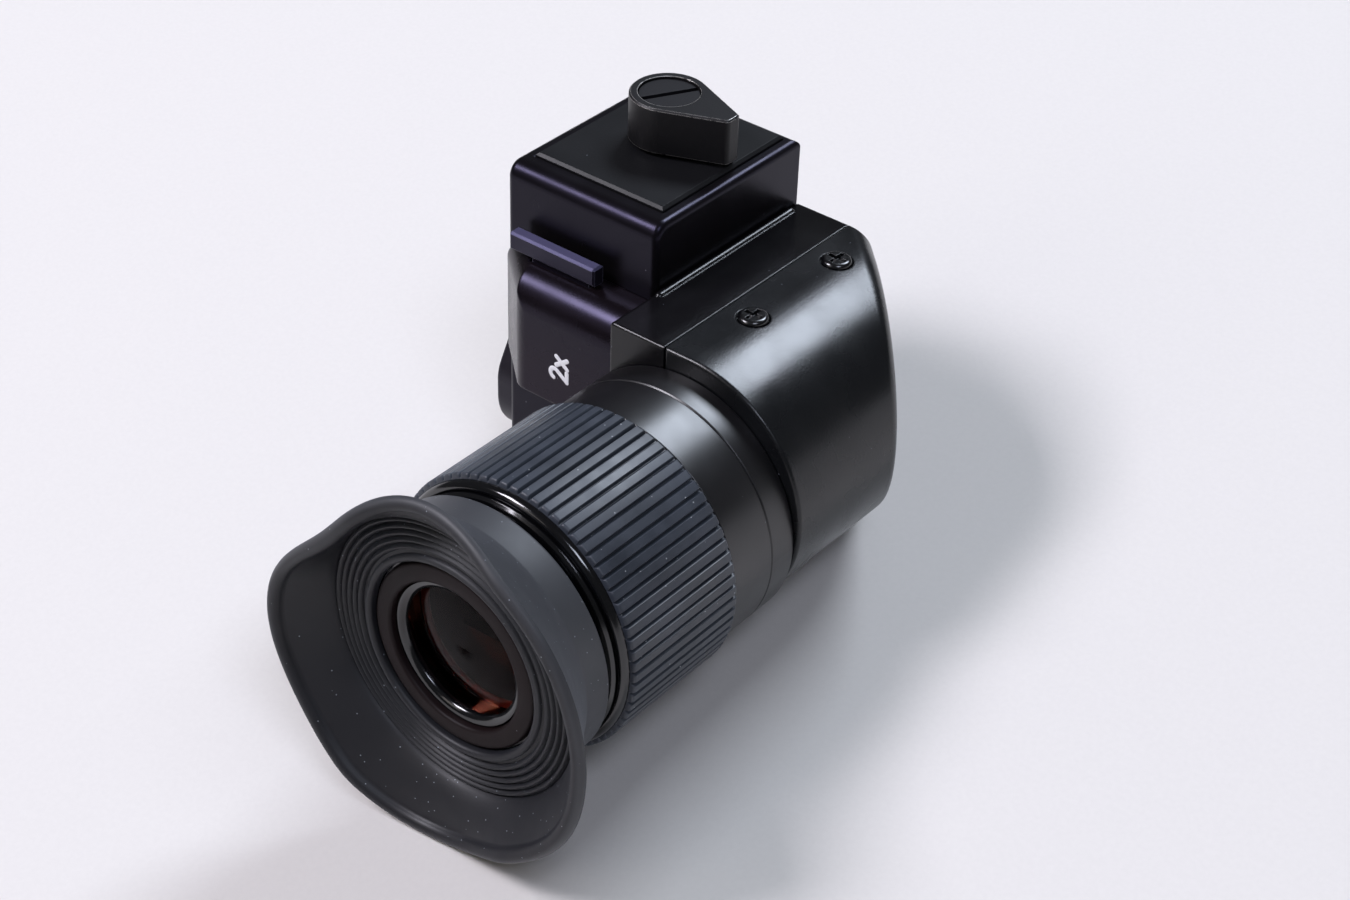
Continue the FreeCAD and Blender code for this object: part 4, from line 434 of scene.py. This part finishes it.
def rubber(name, colour, outside):
    """Moulded rubber: matte, a faint bloom, the dust that rubber holds, and a lighter, greyer tone painted on the
    outside, where the face looks away from the eyepiece axis: painted light that the outside catches and the inside
    doesn't."""
    made, tree, place = material(name)
    radial = node(tree, "Mapping", {"Vector": place, "Location": (-EYE_X * MM, 0.0, 0.0), "Scale": (1.0, 0.0, 1.0)})
    away = node(tree, "VectorMath", {"Vector": radial.outputs[0]}, operation="NORMALIZE").outputs[0]
    looks = node(tree, "VectorMath", {0: node(tree, "TexCoord").outputs["Normal"], 1: away}, operation="DOT_PRODUCT")
    # painted light: faces that look away from the eyepiece axis get the lighter outside colour
    outer = node(tree, "MapRange", {"Value": looks.outputs["Value"], "From Min": 0.1, "From Max": 0.6}).outputs[0]
    bloom = cloudy(tree, place, size_mm=9.0, low=0.0, high=0.35)
    dust = specks(tree, place, spacing_mm=0.95, size_mm=0.12)
    surface(tree, Specular_IOR_Level=0.45, Sheen_Weight=0.08, Sheen_Roughness=0.45, Sheen_Tint=srgb("#8f96a6"),
            Base_Color=layered(tree, colour, (outer, outside), (bloom, "#1b1c21"), (dust, "#8f959d")),
            Roughness=cloudy(tree, place, size_mm=6.0, low=0.46, high=0.56),
            Normal=grain(tree, place, size_mm=0.35, depth_mm=0.006, detail=4.0))
    return made


def moulded_plastic(name, colour, roughness):
    """Glass-filled plastic of the ribbed ring: blue-grey, half matte, with fine pale dust."""
    made, tree, place = material(name)
    drift = cloudy(tree, place, size_mm=6.0, low=0.0, high=1.0)
    dust = specks(tree, place, spacing_mm=1.25, size_mm=0.14)
    surface(tree, Specular_IOR_Level=0.5, IOR=1.5,
            Base_Color=layered(tree, colour, (drift, "#3b4049"), (dust, "#b4b8bc")),
            Roughness=cloudy(tree, place, size_mm=3.0, low=roughness - 0.06, high=roughness + 0.06),
            Normal=grain(tree, place, size_mm=0.18, depth_mm=0.006, detail=3.0))
    return made


def turned_black(name, colour, gloss, roughness, tool_mm):
    """Black anodising on a turned part: rings left by the tool, tool_mm deep, seen as a soft streak across each
    light. They are drawn 0.12 mm apart, coarser than real ones, so that they show."""
    made, tree, place = material(name)
    rounded = node(tree, "Bevel", {"Radius": 0.12 * MM}, samples=6).outputs[0]
    stretch = node(tree, "Mapping", {"Vector": place, "Scale": (0.06, 1.0, 0.06)}).outputs[0]
    lines = node(tree, "TexNoise", {"Vector": stretch, "Scale": 1 / (0.12 * MM), "Detail": 2.0})
    ringed = node(tree, "Bump", {"Height": lines.outputs["Fac"], "Distance": tool_mm * MM, "Normal": rounded})
    dust = specks(tree, place, spacing_mm=2.2, size_mm=0.09)
    surface(tree, Specular_IOR_Level=gloss, IOR=1.55, Base_Color=layered(tree, colour, (dust, "#8c9096")),
            Roughness=cloudy(tree, place, size_mm=5.0, low=roughness - 0.03, high=roughness + 0.04),
            Normal=ringed.outputs["Normal"])
    return made


def oxide_screw(name, colour, roughness):
    """Black oxide on a steel screw: oily gloss, with brighter edges where the driver has been."""
    made, tree, place = material(name)
    soft, edge = worn_edges(tree, edge_mm=0.06, first=0.96, last=0.80)
    surface(tree, Specular_IOR_Level=0.6, IOR=1.6, Base_Color=layered(tree, colour, (edge, "#2b2b2e")),
            Roughness=cloudy(tree, place, size_mm=0.8, low=roughness - 0.05, high=roughness + 0.08), Normal=soft)
    return made


def bright_metal(name, colour, roughness):
    """Bare turned or drawn metal, slightly uneven."""
    made, tree, place = material(name)
    dull = cloudy(tree, place, size_mm=2.0, low=0.0, high=1.0)
    surface(tree, Metallic=1.0, Base_Color=layered(tree, colour, (dull, "#6f6e6c")),
            Roughness=cloudy(tree, place, size_mm=1.5, low=roughness - 0.05, high=roughness + 0.05),
            Normal=grain(tree, place, size_mm=0.1, depth_mm=0.002))
    return made


def optical_glass(name, tint, coating, ior=1.52):
    """Polished glass with a little dust; a coating colours what it reflects, and a low IOR stands for how little a
    coated lens mirrors."""
    made, tree, place = material(name)
    dust = specks(tree, place, spacing_mm=2.0, size_mm=0.07)
    surface(tree, IOR=ior, Transmission_Weight=1.0, Roughness=0.0, Specular_Tint=srgb(coating),
            Base_Color=layered(tree, tint, (dust, "#8d8880")))
    return made


def print_white(name):
    """White screen-printing ink: matte and slightly uneven."""
    made, tree, place = material(name)
    thin = cloudy(tree, place, size_mm=0.5, low=0.0, high=1.0)
    surface(tree, Roughness=0.6, Base_Color=layered(tree, "#fbfbfc", (thin, "#e4e3e8")))
    return made


FINISHES = {
    "block_black": anodised("satin_anodised_block", "#0c0a0b", sheen="#cdc5f8", gloss=0.20, roughness=0.30,
                            edge_mm=0.2, worn="#141216"),
    "body_black": enamel("gloss_enamel_body", "#0e0d0f", gloss=0.35, roughness=0.18, edge_mm=0.25, grain_mm=0.40,
                         depth_mm=0.003),
    "cover_black": enamel("satin_enamel_cover", "#0f1012", gloss=0.42, roughness=0.26, edge_mm=0.25, grain_mm=0.25,
                          depth_mm=0.010),
    "plate_black": enamel("matte_enamel_plate", "#141416", gloss=0.22, roughness=0.42, edge_mm=0.05, grain_mm=0.25,
                          depth_mm=0.008),
    # the hood's warm low tone is a painted reflection of warm surroundings, not a tone of the dye
    "hood_violet": anodised("violet_black_anodised_hood", "#100b0d", sheen="#ccc4f6", gloss=0.22, roughness=0.26,
                            edge_mm=0.4, worn="#201d26", foot="#160c0b"),
    # the bar's lighter top is a painted highlight
    "bar_violet": anodised("violet_anodised_bar", "#1b1820", sheen="#c4bff0", gloss=0.35, roughness=0.42,
                           edge_mm=0.14, worn="#a9a6bd", painted_top_light="#514f6c"),
    "coupling_black": anodised("black_anodised_frame", "#120f13", sheen="#d0cbe4", gloss=0.40, roughness=0.42,
                               edge_mm=0.5, worn="#26232b"),
    "lever_black": worn_paint("worn_matte_paint_lever", "#100f11", bare="#d2cfca", roughness=0.44, edge_mm=0.17),
    "cap_black": worn_paint("worn_matte_paint_cap", "#151417", bare="#4f4e50", roughness=0.46, edge_mm=0.08),
    "washer_black": oxide_screw("black_oxide_washer", "#0e0e10", roughness=0.35),
    "screw_black": oxide_screw("black_oxide_screw", "#08080a", roughness=0.20),
    "barrel_black": turned_black("black_anodised_barrel", "#131214", gloss=0.6, roughness=0.32, tool_mm=0.003),
    "ring_plastic": moulded_plastic("moulded_plastic_ring", "#2d3138", roughness=0.42),
    "skirt_gloss": turned_black("polished_black_skirt", "#08080a", gloss=0.6, roughness=0.12, tool_mm=0.0003),
    "keeper_black": turned_black("satin_anodised_keeper", "#150b0c", gloss=0.15, roughness=0.5, tool_mm=0.001),
    # the cup's lighter outside is painted light, not a tone of the rubber
    "cup_rubber": rubber("moulded_rubber_cup", "#131317", outside="#3b3c3f"),
    # the red-brown of the inside is painted light: warm light from the surroundings, seen through the prism
    "inner_black": turned_black("dull_anodised_inside", "#32130f", gloss=0.15, roughness=0.6, tool_mm=0.001),
    "clear_glass": optical_glass("clear_window_glass", "#f2f6f4", coating="#ffffff"),
    # the glass's red-brown tint is painted light too: the same warm light seen through the eyepiece
    "coated_glass": optical_glass("coated_lens_glass", "#a0604c", coating="#6a3c2c", ior=1.2),
    "prism_glass": optical_glass("polished_prism_glass", "#e8eeec", coating="#ffffff"),
    "spring_steel": bright_metal("drawn_spring_steel", "#a8a6a2", roughness=0.30),
    "bright_steel": bright_metal("turned_steel", "#b5b3b0", roughness=0.25),
    "nut_brass": bright_metal("turned_brass", "#b08d4f", roughness=0.30),
}


def paint(obj, finish):
    """Give an object one finish in place of whatever it had."""
    obj.data.materials.clear()
    obj.data.materials.append(finish)


for part in frame["record"]["subparts"]:
    paint(nodes[part["node"]], FINISHES[part["material_slot"]])
paint(rubber_cup(), FINISHES["cup_rubber"])
paint(ribbed_ring(), FINISHES["ring_plastic"])
paint(lens_ring(), FINISHES["keeper_black"])
for gloss_piece in (lens_bead(), polished_collar(), polished_skirt()):
    paint(gloss_piece, FINISHES["skirt_gloss"])
# the stop's lip is painted pale: painted light standing in for lamp light that cannot reach it through the lens
paint(field_stop(), turned_black("stop_lip_painted_light", "#c0b8ca", gloss=0.4, roughness=0.45, tool_mm=0.001))
ink = print_white("white_printing_ink")
for stroke in magnification_mark():
    paint(stroke, ink)


# ------------------------------------------------------------------ camera, floor and lamps
def look_from(place, azimuth, elevation, roll, lens):
    """Camera at a place in metres, turned to an azimuth and elevation and rolled about its own line of sight, in
    degrees, with a lens in millimetres."""
    a, e, r = (math.radians(v) for v in (azimuth, elevation, roll))
    right = np.array([math.cos(a), math.sin(a), 0.0])
    back = np.array([math.sin(a) * math.cos(e), -math.cos(a) * math.cos(e), math.sin(e)])
    up = np.cross(back, right)
    matrix = np.eye(4)
    matrix[:3, 0] = right * math.cos(r) + up * math.sin(r)
    matrix[:3, 1] = up * math.cos(r) - right * math.sin(r)
    matrix[:3, 2], matrix[:3, 3] = back, place
    data = bpy.data.cameras.new("camera")
    data.lens, data.sensor_width, data.sensor_fit, data.clip_start = lens, 36.0, "HORIZONTAL", 0.01
    camera = bpy.data.objects.new("camera", data)
    camera.matrix_world = Matrix(matrix.tolist())
    bpy.context.scene.collection.objects.link(camera)
    bpy.context.scene.camera = camera


def paper_floor():
    """Card that the cup's rim, the coupling frame and a cover screw rest on: the plane z = z0 + a (x - x0)
    + b (y - y0), in metres, a tenth of a millimetre lower so that nothing sinks in."""
    x0, y0, z0, a, b = 0.0342, -0.0619, -0.0228, 0.0435, 0.1407
    half, gap = 3.0, 0.0001
    corners = [(x0 - half, y0 - half), (x0 + half, y0 - half), (x0 + half, y0 + half), (x0 - half, y0 + half)]
    points = [(x, y, z0 - gap + a * (x - x0) + b * (y - y0)) for x, y in corners]
    mesh = bpy.data.meshes.new("floor")
    mesh.from_pydata(points, [], [(0, 1, 2, 3)])
    made, tree, place = material("pale_card")
    fibres = cloudy(tree, place, size_mm=0.6, low=0.0, high=0.4)
    surface(tree, Roughness=0.9, Specular_IOR_Level=0.2, Base_Color=layered(tree, "#dedad5", (fibres, "#d8d4cf")))
    mesh.materials.append(made)
    floor = bpy.data.objects.new("floor", mesh)
    bpy.context.scene.collection.objects.link(floor)


def surroundings(colour, strength):
    """Even, dim surroundings that fill the shadows."""
    made = bpy.data.worlds.new("studio")
    made.use_nodes = True
    tree = made.node_tree
    tree.nodes.clear()
    back = node(tree, "Background", {"Color": srgb(colour), "Strength": strength})
    node(tree, "OutputWorld", {"Surface": back.outputs[0]})
    bpy.context.scene.world = made


def softbox(name, direction, distance, size, watts, colour):
    """Area lamp of a size in metres that stands off the object's middle along a direction and faces it."""
    middle = np.array((0.028, -0.02, 0.0))
    data = bpy.data.lights.new(name, "AREA")
    data.shape = "RECTANGLE"
    data.size, data.size_y = size
    data.energy, data.color = watts, srgb(colour)[:3]
    lamp = bpy.data.objects.new(name, data)
    ahead = np.array(direction, float)
    ahead /= np.linalg.norm(ahead)
    side = np.cross((0.0, 0.0, 1.0), ahead)
    side /= np.linalg.norm(side)
    matrix = np.eye(4)
    matrix[:3, 0], matrix[:3, 1], matrix[:3, 2] = side, np.cross(ahead, side), ahead
    matrix[:3, 3] = middle + ahead * distance
    lamp.matrix_world = Matrix(matrix.tolist())
    bpy.context.scene.collection.objects.link(lamp)


look_from((0.16719, -0.19622, 0.16544), azimuth=37.61, elevation=36.16, roll=2.13, lens=69.41)
paper_floor()
surroundings("#b4b6bb", strength=0.18)
softbox("window", (-0.05, 0.64, 0.72), distance=1.2, size=(0.52, 0.32), watts=9.7, colour="#e6f0ff")
softbox("ceiling", (-0.49, -0.50, 0.72), distance=1.2, size=(0.40, 0.32), watts=11.6, colour="#f6f3ff")
softbox("front", (-0.35, -0.90, 0.50), distance=1.8, size=(0.70, 0.70), watts=2.2, colour="#fff6f0")
softbox("fill", (0.60, -0.40, 0.90), distance=1.6, size=(0.45, 0.45), watts=7.0, colour="#e4ebff")
bpy.context.scene.view_settings.view_transform = "Standard"
